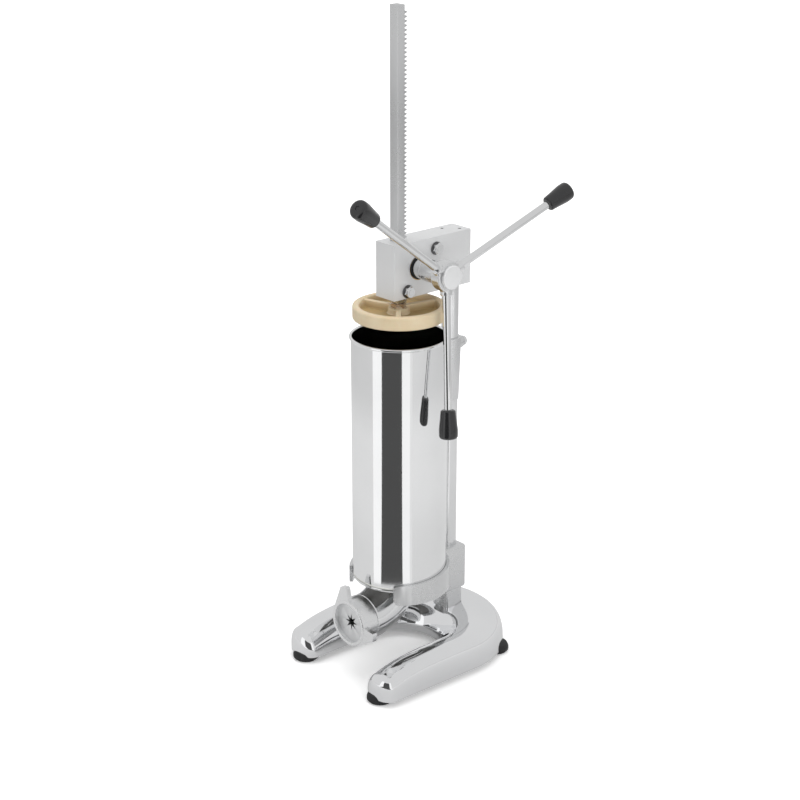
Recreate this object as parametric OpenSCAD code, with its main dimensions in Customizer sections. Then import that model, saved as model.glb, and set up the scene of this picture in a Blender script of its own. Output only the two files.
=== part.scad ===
// Manual churro press. A lever turns a pinion, the pinion drives a toothed
// rack down, and the rack pushes a piston through a round tank. The dough
// leaves by an elbow at the bottom, through a star die held by a ring nut.
//
// X is the lever's side, -Y is the outlet's side, Z is up from the table.
// The origin is on the table, at the middle of the machine's bounding box.

/* [Tank] */
// Outer diameter of the tank's tube
tank_d = 110; // [100:1:116]
// Wall of the tank's tube
tank_wall = 1.5; // [1:0.1:3]
// Height of the tank's tube
tank_h = 291; // [270:1:310]
// Height of the tube's lower end above the table
tank_z = 114; // [110:1:122]
// Thickness of the rolled bead at the rim
bead_d = 3.6; // [2:0.2:5]
// Distance of the tank's axis in front of the machine's middle
tank_front = 23.9; // [20:0.1:28]
// How far the tank can be lifted before it meets the piston
tank_lift = 16; // [10:1:18]

/* [Outlet] */
// Height of the outlet's axis above the table
outlet_z = 68.5; // [60:0.5:72]
// Outer diameter of the outlet's pipe
outlet_d = 50; // [44:1:54]
// Inner diameter of the outlet's pipe
outlet_bore = 36; // [30:1:40]
// Distance from the tank's axis to the end of the outlet's pipe
outlet_reach = 69; // [64:0.5:80]
// Height of the funnel's spigot above the tube's lower end
funnel_h = 10; // [8:0.5:12]
// Outer diameter of the elbow behind the ring nut
elbow_d = 55; // [53:1:58]
// Step from the straight bore to the bend's bore
bend_step = 0.5; // [0.3:0.1:1]
// Width of the funnel's flat floor beside the bore
funnel_floor = 6; // [5:0.5:8]
// Gap between the ring nut and the elbow
nut_gap = 0.7; // [0.5:0.1:1.5]
// Thickness of the flange that the tank stands on
flange_h = 4.3; // [3:0.1:5]
// Thickness of the gasket under the tube
tank_gasket_t = 1.7; // [1:0.1:3]
// Thickness of the gasket behind the die
outlet_gasket_t = 1.6; // [1:0.1:3]
// Thickness of the star die
die_t = 4; // [3:0.1:7]
// Number of the star's points
star_points = 8; // [5:1:12]
// Radius to the star's tips
star_r = 10.6; // [7:0.1:14]
// Radius to the star's valleys
star_valley_r = 4.2; // [3:0.1:6]

/* [Ring nut] */
// Wall of the ring nut round the outlet
nut_wall = 2.7; // [2:0.1:5]
// Thickness of the ring nut's front lip
nut_lip_t = 5.6; // [2:0.1:7]
// How far the lip reaches in over the die
nut_lip_w = 1.6; // [1:0.1:3]
// How far the ring nut reaches over the outlet's pipe
nut_grip = 12; // [10:0.5:16]
// Distance from the outlet's axis to a lug's tip
lug_reach = 44.2; // [42:0.1:46]
// Width of a lug's tip
lug_w = 11; // [8:0.5:13]
// Thickness of the lugs along the axis
lug_t = 6; // [4:0.5:10]
// Distance of the lugs behind the ring nut's front face
lug_back = 0.7; // [0.4:0.1:4]
// Rounding at a lug's root
lug_fillet = 4; // [2:0.5:6]
// Angle of the upper lug above the right
upper_lug = 101; // [96:1:130]
// Angle of the lower lug below the right
lower_lug = 3.5; // [0:0.5:20]
// Play that stands in for the thread between pipe and nut
thread_play = 0.3; // [0.3:0.05:0.5]

/* [Piston] */
// Gap between the piston and the tank's wall
piston_gap = 0.5; // [0.3:0.1:1]
// Height of the raised piston above the tank's rim
piston_rest = 20; // [19:0.5:24]
// Height of the piston's rim
piston_h = 16; // [14.5:0.5:18]
// Thickness of the piston's floor
piston_floor = 6; // [4:0.5:8]
// Thickness of the piston's rim
piston_rim_w = 6.5; // [4:0.5:9]
// Diameter of the piston's boss
boss_d = 22; // [21:0.5:28]
// Depth of the boss's top below the rim
boss_drop = 3.5; // [2:0.5:4]
// Number of ribs from the boss to the rim
rib_count = 3; // [2:1:6]
// Width of a rib
rib_w = 5.5; // [4:0.5:7]
// Angle of the first rib from the right
rib_angle = 77; // [60:1:90]
// Diameter of the stud at the rack's lower end
stud_d = 10; // [8:0.5:11]
// Width across the flats of the stud's nuts
stud_nut_af = 15; // [13:0.5:17]
// Thickness of the stud's nuts
stud_nut_t = 5.5; // [4:0.5:6]
// Depth of the recess for the lower nut
recess_h = 8; // [6.5:0.5:9]
// Thickness of the piston's washer
piston_washer_t = 1.5; // [1:0.1:2]

/* [Rack and pinion] */
// Module of the teeth
tooth_module = 1.5; // [1.4:0.05:1.6]
// Number of teeth on the pinion
pinion_teeth = 16; // [14:1:17]
// Pressure angle of the teeth
pressure_angle = 20; // [18:0.5:22]
// Backlash on the pitch line
backlash = 0.25; // [0.15:0.05:0.4]
// Width of the rack along the lever's shaft
rack_w = 13; // [11:0.5:15]
// Distance of the rack's back behind the tank's axis line
rack_back = 8; // [6.5:0.5:10]
// Distance of the rack's pitch line from the tank's axis
pitch_y = 4; // [3:0.1:5]
// Length of the rack above the head block beyond the tank's height
rack_spare = -33.5; // [-45:0.5:0]
// Sliding clearance round the rack
rack_play = 0.3; // [0.2:0.05:0.5]
// Width of the pinion
pinion_w = 14; // [12:0.5:15]

/* [Head block] */
// Width of the head block
block_w = 31; // [29:0.5:36]
// Height of the head block
block_h = 63.5; // [60:0.5:70]
// Height of the block's underside above the tank's rim
block_rise = 46; // [45.5:0.5:51]
// How far the block reaches in front of the tank's axis
block_front = 21; // [17:0.5:26]
// How far the block reaches behind the tank's axis
block_rear = 94; // [91:0.5:100]
// Height of the lever's axis above the block's underside
axis_rise = 32.5; // [30:0.5:36]
// Radius of the pocket that holds the pinion
pocket_r = 14.3; // [14:0.1:15.5]
// Diameter of the shaft in the right bushing
shaft_d = 16; // [14:0.5:17]
// Diameter of the shaft through the pinion
journal_d = 12; // [10:0.5:13]
// Wall of the left bushing
bush_wall = 3.4; // [2:0.1:4]
// Running clearance of the shaft in its bushings
run_play = 0.05; // [0.02:0.01:0.09]
// Length of the key
key_l = 11; // [8:0.5:12]
// Width and height of the key
key_w = 3; // [2.5:0.1:3.5]
// Outer radius of the shaft's seal ring
seal_r = 13.4; // [12:0.1:14]
// Thickness of the seal ring
seal_t = 1.5; // [1:0.1:3]
// Width across the flats of the side bolts
side_bolt_af = 12; // [10:0.5:13]
// Thickness of the side bolts' heads
side_bolt_head = 4.8; // [3:0.1:6]
// Diameter of the side bolts
side_bolt_d = 8; // [6:0.5:8]
// Radius of the washers under the side bolts
side_washer_r = 7.5; // [6.5:0.1:8]
// Thickness of the washers under the side bolts
side_washer_t = 1.5; // [1:0.1:2]
// Distance of the lower side bolt behind the tank's axis
low_bolt_y = -1.5; // [-3:0.5:0]
// Height of the lower side bolt above the block's underside
low_bolt_z = 8; // [7.5:0.5:9]
// Distance of the upper side bolt behind the tank's axis
high_bolt_y = 41; // [38:0.5:46]
// Distance of the upper side bolt below the block's top
high_bolt_z = 13.5; // [10:0.5:20]
// Thickness of the shoe that brakes the rack
shoe_t = 4; // [3:0.5:5]
// Diameter of the two lock screws between block and column
lock_screw_d = 4; // [3:0.5:5]
// Length of the lock screws
lock_screw_l = 12; // [8:1:20]
// Angle of the lock screws from the right
lock_angle = 48; // [30:1:60]

/* [Lever] */
// Distance of the rods' plane from the tank's axis
hub_x = 59; // [55:0.5:62]
// Radius of the hub's drum
drum_r = 17.5; // [15:0.5:20]
// Length of the hub's drum
drum_l = 15; // [12:0.5:18]
// Radius of the hub's sleeve towards the block
sleeve_r = 12.5; // [11:0.5:14]
// Length of the hub's sleeve
sleeve_l = 23; // [18:0.5:24]
// Radius of the hub's end cap
cap_r = 13.4; // [11:0.1:15]
// Thickness of the hub's end cap
cap_t = 4; // [2:0.5:6]
// Diameter of the hub's cross pin
hub_pin_d = 4; // [3:0.5:5]
// Number of rods
rod_count = 3; // [2:1:4]
// Diameter of a rod
rod_d = 9; // [7:0.5:10]
// Distance from the shaft to a knob's outer end
rod_reach = 182.5; // [150:0.5:200]
// Radius of the boss round a rod
rod_boss_r = 6.8; // [6:0.1:8]
// Distance from the shaft to the end of a rod's boss
rod_boss_reach = 22; // [20:0.5:26]
// Lean of the rods away from the block
rod_dish = 8; // [0:0.5:12]
// Angle of the first rod at rest, from the rear
rod_angle = 24.5; // [0:0.5:60]
// Length of a knob
knob_l = 33; // [30:1:45]
// Radius of a knob at its inner end
knob_in_r = 8.4; // [7:0.1:10]
// Radius of a knob at its outer end
knob_out_r = 10.8; // [9:0.1:13]
// Rounding of a knob's outer edge
knob_round = 3.5; // [2:0.5:5]

/* [Column] */
// Diameter of the column
column_d = 20; // [19:0.5:22]
// Distance of the column behind the tank's axis
column_y = 77.5; // [76:0.5:80]
// Radial clearance of the column in its sockets
column_fit = 0.05; // [0.02:0.01:0.1]
// Height of the column's lower end above the base's underside
column_foot = 14; // [11:1:18]
// Diameter of the bolt under the column
foot_bolt_d = 10; // [8:0.5:12]
// Length of that bolt in the column
foot_bolt_l = 26; // [15:1:40]

/* [Tank stay] */
// Distance of the stay's top below the tank's rim
stay_drop = 19; // [13:1:25]
// Height of the stay's tapered collar
stay_h = 76; // [60:1:90]
// Wall of the collar at its top
stay_top_wall = 3.4; // [3:0.1:5]
// Wall of the collar at its lower end
stay_low_wall = 1; // [0.8:0.1:2]
// Width of the stay's arm towards the tank
stay_arm_w = 18; // [12:0.5:22]
// Height of the stay's arm
stay_arm_h = 26; // [15:1:35]
// Distance of the stay's bolt below its top
stay_bolt_z = 9.5; // [8:0.5:14]
// Diameter of the stay's bolt
stay_bolt_d = 6; // [5:0.5:8]
// Reach of the bolt's boss behind the column's axis
stay_boss_reach = 16.5; // [15:0.5:20]
// Gap between the stay, or the cradle, and the tank
tank_fit = 0.35; // [0.3:0.05:0.6]

/* [Cradle] */
// Thickness of the cradle's arms
arm_t = 3.8; // [3:0.1:6]
// Height of the arms' lower edge above the table
arm_z = 94; // [90:0.5:98]
// Height of the arms at their front ends
arm_front_h = 22.5; // [16:0.5:26]
// Height of the cradle at its rear
arm_rear_h = 30.5; // [28:0.5:34]
// Half angle of the cradle's open front
arm_open = 42; // [36:1:50]
// Rounding of the lower corner of an arm's end
arm_round = 6; // [3:1:8]
// Thickness of the ledge under the tank's flange
ledge_t = 4.5; // [3:0.5:6]
// How far the ledge reaches in under the flange
ledge_w = 5; // [3:0.5:6]
// Width of the cradle's rear block
socket_w = 36; // [30:1:42]
// Height of the rear block's underside above the table
socket_z = 68; // [64:1:76]
// How far the rear block reaches behind the column's axis
socket_rear = 14.5; // [13:0.5:18]
// Width of the stem between the rear block and the base
stem_w = 27; // [24:1:32]
// Rounding of the stem's edges
stem_round = 5; // [3:0.5:7]
// Diameter of the cradle's set screw
set_screw_d = 6; // [4:0.5:8]
// Height of the set screw above the table
set_screw_z = 104; // [98:1:112]

/* [Base] */
// Outer width of the base
base_w = 191; // [184:1:204]
// Width of the gap between the base's legs
base_gap = 96; // [92:1:100]
// Length of the straight part of the base, outside
base_straight = 127; // [118:1:132]
// Length of the straight part of the gap, inside
gap_straight = 89; // [82:1:94]
// Distance of the toes' centres in front of the tank's axis
toe_front = 87; // [84:1:94]
// Half width of a toe
toe_r = 22; // [20:0.5:23]
// Length of a toe's round nose
toe_nose = 14; // [12:0.5:20]
// How far the toes stand in from the legs' middle line
toe_in = 1; // [0:0.2:2]
// Height of the base's crest at a toe
toe_h = 26; // [22:0.5:30]
// Height of the base's crest at the rear
crest_h = 37; // [34:0.5:40]
// Height of the pad that the cradle's stem stands on
pad_h = 34; // [31:0.5:36]
// Straight lip along the base's lower edge
lip_h = 3; // [2:0.5:5]

/* [Feet] */
// Height of the rubber feet
foot_h = 10; // [8:0.5:12]
// Radius of a foot
foot_r = 15.6; // [12:0.1:18]
// Distance between the left and the right feet
foot_pitch_x = 136; // [130:1:142]
// Distance between the front and the rear feet
foot_pitch_y = 184; // [176:1:188]
// Distance of the front feet in front of the tank's axis
foot_front = 89; // [86:1:91]
// Diameter of a foot's screw
foot_screw_d = 5; // [4:0.5:6]
// Length of a foot's screw in the base
foot_screw_l = 12; // [8:1:13]

/* [Hidden] */
$fn = 96;

e = 0.01;                                   // overshoot of a cut
tank_r = tank_d / 2;
tank_in_r = tank_r - tank_wall;
tank_top = tank_z + tank_h;
block_z = tank_top + block_rise;
axis_z = block_z + axis_rise;
rack_top = block_z + block_h + tank_h + rack_spare;
stay_z = tank_top - stay_drop;
spigot_r = tank_in_r - 0.5;                 // funnel's spigot in the tube
flange_z = tank_z - tank_gasket_t - flange_h;
outlet_r = outlet_d / 2;

die_front = outlet_reach + outlet_gasket_t + die_t;
nut_front = die_front + nut_lip_t;
nut_rear = outlet_reach - nut_grip;
nut_bore_r = outlet_r + thread_play;
nut_r = nut_bore_r + nut_wall;

piston_z = tank_top + piston_rest;
piston_r = tank_in_r - piston_gap;
boss_top = piston_z + piston_h - boss_drop;
nut_top = boss_top + stud_nut_t;

pitch = PI * tooth_module;
pitch_r = tooth_module * pinion_teeth / 2;
axis_y = pitch_y + pitch_r;
rack_tip = 0.85 * tooth_module;             // rack's tooth above the pitch line
rack_root = 1.2 * tooth_module;
rack_y = (pitch_y + rack_tip - rack_back) / 2;
rack_low = nut_top + 0.3;                   // square part starts over the nut
tooth_low = rack_low + 9;

block_half = block_w / 2;
pocket_wall = 7;                            // block left of the pinion's pocket
bush_in = block_half - pocket_wall;
journal_r = journal_d / 2;
shaft_r = shaft_d / 2;
seat_x = -pinion_w / 2;                     // pinion's left end
collar_x = block_half + seal_t + 0.2;
drum_x = hub_x - drum_l / 2;
sleeve_x = drum_x - sleeve_l;
cap_x = drum_x + drum_l;

column_r = column_d / 2;
socket_r = column_r + column_fit;
base_z = foot_h;
column_low = base_z + column_foot;
pad_z = base_z + pad_h;
column_top = block_z + block_h - 0.4;
socket_top = arm_z + arm_rear_h;
foot_y = -foot_front;

// A box from one corner to the opposite one
module span(a, b) {
  translate(a) cube([for (i = [0:2]) b[i] - a[i]]);
}

// A cylinder along X from x0 to x1, round the line (y, z)
module rod_x(x0, x1, r, y = 0, z = 0) {
  translate([x0, y, z]) rotate([0, 90, 0]) cylinder(h = x1 - x0, r = r);
}

// A cylinder along Y from y0 to y1, round the line (x, z)
module rod_y(y0, y1, r, x = 0, z = 0) {
  translate([x, y0, z]) rotate([-90, 0, 0]) cylinder(h = y1 - y0, r = r);
}

// A hexagon's prism of a given width across the flats
module hex(af, h) {
  cylinder(h = h, r = af / sqrt(3), $fn = 6);
}

// A flat ring
module ring(r0, r1, h) {
  difference() {
    cylinder(h = h, r = r1);
    translate([0, 0, -1]) cylinder(h = h + 2, r = r0);
  }
}

// A box on z = 0 with rounded upright edges
module rounded_box(x, y, h, r) {
  translate([-x / 2, -y / 2 + r, 0]) cube([x, y - 2 * r, h]);
  translate([-x / 2 + r, -y / 2, 0]) cube([x - 2 * r, y, h]);
  for (i = [-1, 1], j = [-1, 1])
    translate([i * (x / 2 - r), j * (y / 2 - r), 0]) cylinder(h = h, r = r);
}

// Puts a piece that is drawn round the tank's axis in its place
module at_tank() {
  translate([0, -tank_front, 0]) children();
}

// Puts a piece that is drawn round the lever's shaft in its place
module at_shaft() {
  at_tank() translate([0, axis_y, axis_z]) children();
}

// Puts a piece that is drawn round the column's axis in its place
module at_column() {
  at_tank() translate([0, column_y, 0]) children();
}

// Turns a piece that is drawn along Z onto each rod of the lever
module at_rods() {
  for (i = [0:rod_count - 1])
    at_shaft() translate([hub_x, 0, 0])
      rotate([rod_angle + i * 360 / rod_count, 0, 0])
        rotate([0, 0, -rod_dish]) rotate([-90, 0, 0]) children();
}

// Puts a piece under each foot's centre
module at_feet() {
  for (i = [-1, 1], j = [0, 1])
    at_tank() translate([i * foot_pitch_x / 2, foot_y + j * foot_pitch_y, 0])
      children();
}

// ---- base -------------------------------------------------------------

// The base is swept from the right toe round the rear to the left toe. A
// station is [inner x, inner y, outer x, outer y, crest height].
toe_steps = 5;
leg_steps = 7;
bow_steps = 24;
gap_r = base_gap / 2;
out_r = base_w / 2;
toe_x = (gap_r + out_r) / 2 - toe_in;
gap_y = gap_straight - toe_front;           // centre of the gap's round end
out_y = base_straight - toe_front;          // centre of the round rear

function mix(a, b, t) = a + (b - a) * t;
function toe_station(i) =
  let (t = 14 + 76 * i / toe_steps, s = toe_r * sin(t), y = -toe_front - toe_nose * cos(t))
  [toe_x - s, y, toe_x + s, y, toe_h * pow(sin(t), 0.6)];
function leg_station(i) =
  let (t = i / leg_steps)
  [mix(toe_x - toe_r, gap_r, t), mix(-toe_front, gap_y, t),
   mix(toe_x + toe_r, out_r, t), mix(-toe_front, out_y, t),
   mix(toe_h, crest_h, 1 - pow(1 - t, 4))];
function bow_station(i) =
  let (f = 180 * i / bow_steps)
  [gap_r * cos(f), gap_y + gap_r * sin(f), out_r * cos(f), out_y + out_r * sin(f), crest_h];
function mirrored(s) = [-s[0], s[1], -s[2], s[3], s[4]];

half_stations = concat([for (i = [0:toe_steps]) toe_station(i)],
                       [for (i = [1:leg_steps - 1]) leg_station(i)]);
stations = concat(half_stations, [for (i = [0:bow_steps]) bow_station(i)],
                  [for (i = [len(half_stations) - 1:-1:0]) mirrored(half_stations[i])]);

// The section is a broad dome. Its crest lies a little outside the middle, so
// the outer side is steep and the inner side slants.
section_steps = 15;
dome = 2.6;
function section(i) =
  let (t = i / section_steps, u = 0.5 - 0.5 * cos(180 * t))
  [u, pow(1 - pow(abs(2 * pow(u, 1.4) - 1), dome), 1 / dome)];
function base_point(s, i) =
  let (p = section(i))
  [mix(s[0], s[2], p[0]), mix(s[1], s[3], p[0]),
   base_z + lip_h + (s[4] - lip_h) * (i == 0 || i == section_steps ? 0 : p[1])];
function base_ring(s) = concat(
  [[s[0], s[1], base_z]],
  [for (i = [0:section_steps]) base_point(s, i)],
  [[s[2], s[3], base_z]]);

module base_body() {
  m = section_steps + 3;
  n = len(stations);
  points = [for (s = stations) each base_ring(s)];
  sides = [for (k = [0:n - 2], i = [0:m - 1])
    let (a = k * m + i, b = k * m + (i + 1) % m)
    each [[a, a + m, b], [b, a + m, b + m]]];
  first = [for (i = [1:m - 2]) [0, i, i + 1]];
  last = [for (i = [1:m - 2]) [(n - 1) * m, (n - 1) * m + i + 1, (n - 1) * m + i]];
  polyhedron(points = points, faces = concat(sides, first, last), convexity = 8);
}

module base() {
  color([0.82, 0.83, 0.85]) difference() {
    union() {
      at_tank() base_body();
      at_column() translate([0, 0, base_z]) rounded_box(stem_w, stem_w, pad_h, stem_round);
    }
    at_column() translate([0, 0, pad_z])
      rounded_box(stem_w + 0.6, stem_w + 0.6, crest_h, stem_round);
    at_column() translate([0, 0, column_low]) cylinder(h = crest_h, r = socket_r);
    at_column() translate([0, 0, base_z - 1]) cylinder(h = pad_h, r = foot_bolt_d / 2 + 0.4);
    at_column() translate([0, 0, base_z - 1]) cylinder(h = 9, r = foot_bolt_d + 1);
    at_feet() translate([0, 0, base_z - 1]) cylinder(h = foot_screw_l + 2, r = foot_screw_d / 2);
  }
}

module rubber_feet() {
  color([0.08, 0.08, 0.08]) at_feet() difference() {
    rotate_extrude() polygon([
      [0, 0], [foot_r - 2.6, 0], [foot_r, 2.6], [foot_r, foot_h - 4],
      [foot_r - 2, foot_h], [0, foot_h]]);
    translate([0, 0, -1]) cylinder(h = foot_h + 2, r = foot_screw_d / 2 + 0.2);
    translate([0, 0, -1]) cylinder(h = 1 + foot_h - 4, r = foot_screw_d + 0.6);
  }
}

module foot_screws() {
  color([0.6, 0.6, 0.62]) at_feet() {
    translate([0, 0, foot_h - 4 - 3]) cylinder(h = 3, r = foot_screw_d);
    translate([0, 0, foot_h - 4 - e]) cylinder(h = foot_screw_l + 4, r = foot_screw_d / 2);
  }
}

module column_bolt() {
  color([0.6, 0.6, 0.62]) at_column() {
    translate([0, 0, base_z + 0.6]) hex(foot_bolt_d * 1.6, 5.4);
    translate([0, 0, base_z + 5.9])
      cylinder(h = column_low + foot_bolt_l - base_z - 6, r = foot_bolt_d / 2);
  }
}

module column_washer() {
  color([0.7, 0.7, 0.72]) at_column() translate([0, 0, base_z + 6])
    ring(foot_bolt_d / 2 + 0.2, foot_bolt_d, 2);
}

// ---- column and cradle --------------------------------------------------

module lock_places() {
  for (i = [0, 1])
    rotate([0, 0, lock_angle + 180 * i]) translate([column_r, 0, block_z + block_h - lock_screw_l])
      children();
}

module column() {
  color([0.8, 0.81, 0.83]) difference() {
    at_column() translate([0, 0, column_low]) cylinder(h = column_top - column_low, r = column_r);
    at_column() translate([0, 0, column_low - 1])
      cylinder(h = foot_bolt_l + 2, r = foot_bolt_d / 2);
    at_column() lock_places() translate([0, 0, -1])
      cylinder(h = lock_screw_l + 2, r = lock_screw_d / 2);
    at_column() rod_y(column_r - 3, column_r + 1, stay_bolt_d / 2 + 0.1, 0, stay_z - stay_bolt_z);
    at_column() rod_y(column_r - 1.5, column_r + 1, set_screw_d / 2 + 0.1, 0, set_screw_z);
  }
}

// Upright wedge that opens the front of the cradle
module front_wedge(z0, z1) {
  far = 2 * tank_d;
  translate([0, 0, z0]) linear_extrude(z1 - z0)
    polygon([[0, 0], [-far * sin(arm_open), -far * cos(arm_open)],
             [0, -2 * far], [far * sin(arm_open), -far * cos(arm_open)]]);
}

// Rounds the lower corner of each arm's end
module arm_corners(in_r, out_r) {
  z = arm_z + arm_round;
  arc = [for (t = [8:18.5:82]) [arm_round - arm_round * cos(t), z - arm_round * sin(t)]];
  for (side = [0, 1]) mirror([side, 0, 0]) rotate([0, 0, arm_open]) translate([0, 1 - in_r, 0])
    rotate([90, 0, 0]) linear_extrude(out_r - in_r + 2)
      polygon(concat([[-1, arm_z - 1], [-1, z]], arc, [[arm_round, arm_z - 1]]));
}

module cradle() {
  in_r = tank_r + tank_fit;
  out_r = in_r + arm_t;
  rear_y = column_y + socket_rear;
  ledge_z = flange_z - ledge_t;
  tilt = atan((arm_rear_h - arm_front_h) / tank_d);
  color([0.74, 0.75, 0.76]) difference() {
    at_tank() union() {
      difference() {
        translate([0, 0, arm_z]) cylinder(h = arm_rear_h, r = out_r);
        front_wedge(arm_z - 1, socket_top + 1);
        arm_corners(in_r, out_r);
        translate([0, -out_r, arm_z + arm_front_h]) rotate([tilt, 0, 0])
          translate([-out_r - 1, -arm_rear_h, 0]) cube([2 * out_r + 2, 2 * out_r + arm_rear_h, arm_rear_h]);
      }
      translate([0, column_y, pad_z])
        rounded_box(stem_w, stem_w, socket_z - pad_z + 1, stem_round);
      translate([0, (rear_y + tank_r) / 2, socket_z])
        rounded_box(socket_w, rear_y - tank_r, socket_top - socket_z, 4);
    }
    // room for the tube, and below it for the flange on its ledge
    at_tank() translate([0, 0, flange_z]) cylinder(h = tank_h, r = in_r);
    at_tank() translate([0, 0, ledge_z - tank_h]) cylinder(h = tank_h, r = in_r);
    at_tank() translate([0, 0, ledge_z - 1]) cylinder(h = ledge_t + 2, r = in_r - ledge_w);
    at_column() translate([0, 0, pad_z - 1]) cylinder(h = socket_top, r = socket_r);
    at_column() rod_y(0, socket_rear + 1, set_screw_d / 2, 0, set_screw_z);
  }
}

module cradle_set_screw() {
  color([0.25, 0.25, 0.27]) at_column() difference() {
    rod_y(column_r - 1.2, socket_rear - 0.5, set_screw_d / 2, 0, set_screw_z);
    translate([0, socket_rear - 2.5, set_screw_z]) rotate([-90, 0, 0]) hex(set_screw_d / 2, 4);
  }
}

module tank_stay() {
  arm_low = stay_z - stay_arm_h;
  color([0.76, 0.77, 0.78]) difference() {
    union() {
      at_column() translate([0, 0, stay_z - stay_h])
        cylinder(h = stay_h, r1 = socket_r + stay_low_wall, r2 = socket_r + stay_top_wall);
      at_tank() span([-stay_arm_w / 2, tank_r - 4, arm_low], [stay_arm_w / 2, column_y, stay_z]);
      at_column() rod_y(0, stay_boss_reach, stay_bolt_d + 1.5, 0, stay_z - stay_bolt_z);
    }
    at_tank() translate([0, 0, arm_low - 1]) cylinder(h = stay_h, r = tank_r + tank_fit);
    at_column() translate([0, 0, stay_z - stay_h - 1]) cylinder(h = stay_h + 2, r = socket_r);
    at_column() rod_y(0, stay_boss_reach + 1, stay_bolt_d / 2, 0, stay_z - stay_bolt_z);
  }
}

module stay_bolt() {
  z = stay_z - stay_bolt_z;
  y = stay_boss_reach + 1.6;
  color([0.85, 0.85, 0.86]) at_column() {
    rod_y(column_r - 2.8, y + e, stay_bolt_d / 2 - 0.02, 0, z);
    translate([0, y, z]) rotate([-90, 0, 0]) hex(stay_bolt_d * 1.67, stay_bolt_d * 0.9);
  }
}

module stay_washer() {
  color([0.7, 0.7, 0.72]) at_column()
    translate([0, stay_boss_reach, stay_z - stay_bolt_z]) rotate([-90, 0, 0])
      ring(stay_bolt_d / 2 + 0.2, stay_bolt_d + 0.8, 1.6);
}

// ---- head block -----------------------------------------------------------

low_bolt = [low_bolt_y, block_z + low_bolt_z];
high_bolt = [high_bolt_y, block_z + block_h - high_bolt_z];
side_bolt_places = [low_bolt, high_bolt];
shoe_x = rack_w / 2 + rack_play;            // shoe's face towards the rack
shoe_r = side_bolt_d / 2 + 0.5;
high_bolt_l = 10;

module head_block() {
  color([0.77, 0.78, 0.79]) difference() {
    at_tank() span([-block_half, -block_front, block_z], [block_half, block_rear, block_z + block_h]);
    // channel of the rack
    at_tank() span([-rack_w / 2 - rack_play, -rack_back - rack_play, block_z - 1],
                   [rack_w / 2 + rack_play, pitch_y + rack_tip + rack_play, block_z + block_h + 1]);
    // pocket of the pinion, and the left bushing's seat
    at_shaft() rod_x(-bush_in, block_half + 1, pocket_r);
    at_shaft() rod_x(-block_half - 1, 0, journal_r + bush_wall);
    at_column() translate([0, 0, block_z - 1]) cylinder(h = block_h + 2, r = socket_r);
    at_column() lock_places() cylinder(h = lock_screw_l + 1, r = lock_screw_d / 2);
    // side bolts
    at_tank() rod_x(0, shoe_x + shoe_t, shoe_r, low_bolt[0], low_bolt[1]);
    at_tank() rod_x(0, block_half + 1, side_bolt_d / 2, low_bolt[0], low_bolt[1]);
    at_tank() rod_x(block_half - high_bolt_l - 1, block_half + 1, side_bolt_d / 2,
                    high_bolt[0], high_bolt[1]);
  }
}

module block_lock_screws() {
  color([0.3, 0.3, 0.32]) at_column() lock_places() difference() {
    cylinder(h = lock_screw_l - 0.6, r = lock_screw_d / 2);
    translate([0, 0, lock_screw_l - 3]) hex(lock_screw_d / 2, 4);
  }
}

module side_bolts() {
  lengths = [block_half - shoe_x - shoe_t, high_bolt_l];
  color([0.85, 0.85, 0.87]) at_tank() for (i = [0, 1]) {
    p = side_bolt_places[i];
    rod_x(block_half - lengths[i], block_half + side_washer_t + e, side_bolt_d / 2, p[0], p[1]);
    translate([block_half + side_washer_t, p[0], p[1]]) rotate([0, 90, 0])
      hex(side_bolt_af, side_bolt_head);
  }
}

module side_washers() {
  color([0.55, 0.55, 0.57]) at_tank() for (p = side_bolt_places)
    translate([block_half, p[0], p[1]]) rotate([0, 90, 0])
      ring(side_bolt_d / 2 + 0.2, side_washer_r, side_washer_t);
}

module rack_shoe() {
  color([0.9, 0.88, 0.8]) at_tank()
    rod_x(shoe_x, shoe_x + shoe_t - e, shoe_r - 0.05, low_bolt[0], low_bolt[1]);
}

module shaft_bushings() {
  color([0.72, 0.55, 0.3]) at_shaft() {
    difference() {
      rod_x(seat_x + pinion_w + 0.3, block_half, pocket_r - 0.02);
      rod_x(0, block_half + 1, shaft_r + run_play);
    }
    difference() {
      rod_x(-block_half, -bush_in, journal_r + bush_wall - 0.02);
      rod_x(-block_half - 1, 0, journal_r + run_play);
    }
  }
}

module shaft_seal() {
  color([0.12, 0.12, 0.13]) at_shaft() difference() {
    rod_x(block_half, block_half + seal_t, seal_r);
    rod_x(block_half - 1, block_half + seal_t + 1, shaft_r + 2.5 * run_play);
  }
}

// ---- lever, with its shaft and pinion --------------------------------------

ring_x = -block_half - 0.3;                 // retaining ring's inner face
ring_t = 1.2;

module shaft_key_slot(play) {
  half = key_l / 2 + play;
  span([-half, -key_w / 2 - play, journal_r - key_w / 2 - play],
       [half, key_w / 2 + play, journal_r + key_w / 2 + play]);
}

module pinion_shaft() {
  color([0.8, 0.81, 0.83]) at_shaft() difference() {
    union() {
      rod_x(ring_x - 2 * ring_t, pinion_w / 2 + 0.2, journal_r);
      rod_x(pinion_w / 2 + 0.2 - e, cap_x, shaft_r);
    }
    difference() {
      rod_x(ring_x - ring_t, ring_x, journal_r + 1);
      rod_x(ring_x - ring_t - 1, ring_x + 1, journal_r - 0.8);
    }
    shaft_key_slot(0);
    translate([hub_x - drum_l, 0, -drum_r]) cylinder(h = 2 * drum_r, r = hub_pin_d / 2);
  }
}

module pinion_key() {
  color([0.5, 0.5, 0.52]) at_shaft() shaft_key_slot(-0.03);
}

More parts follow.
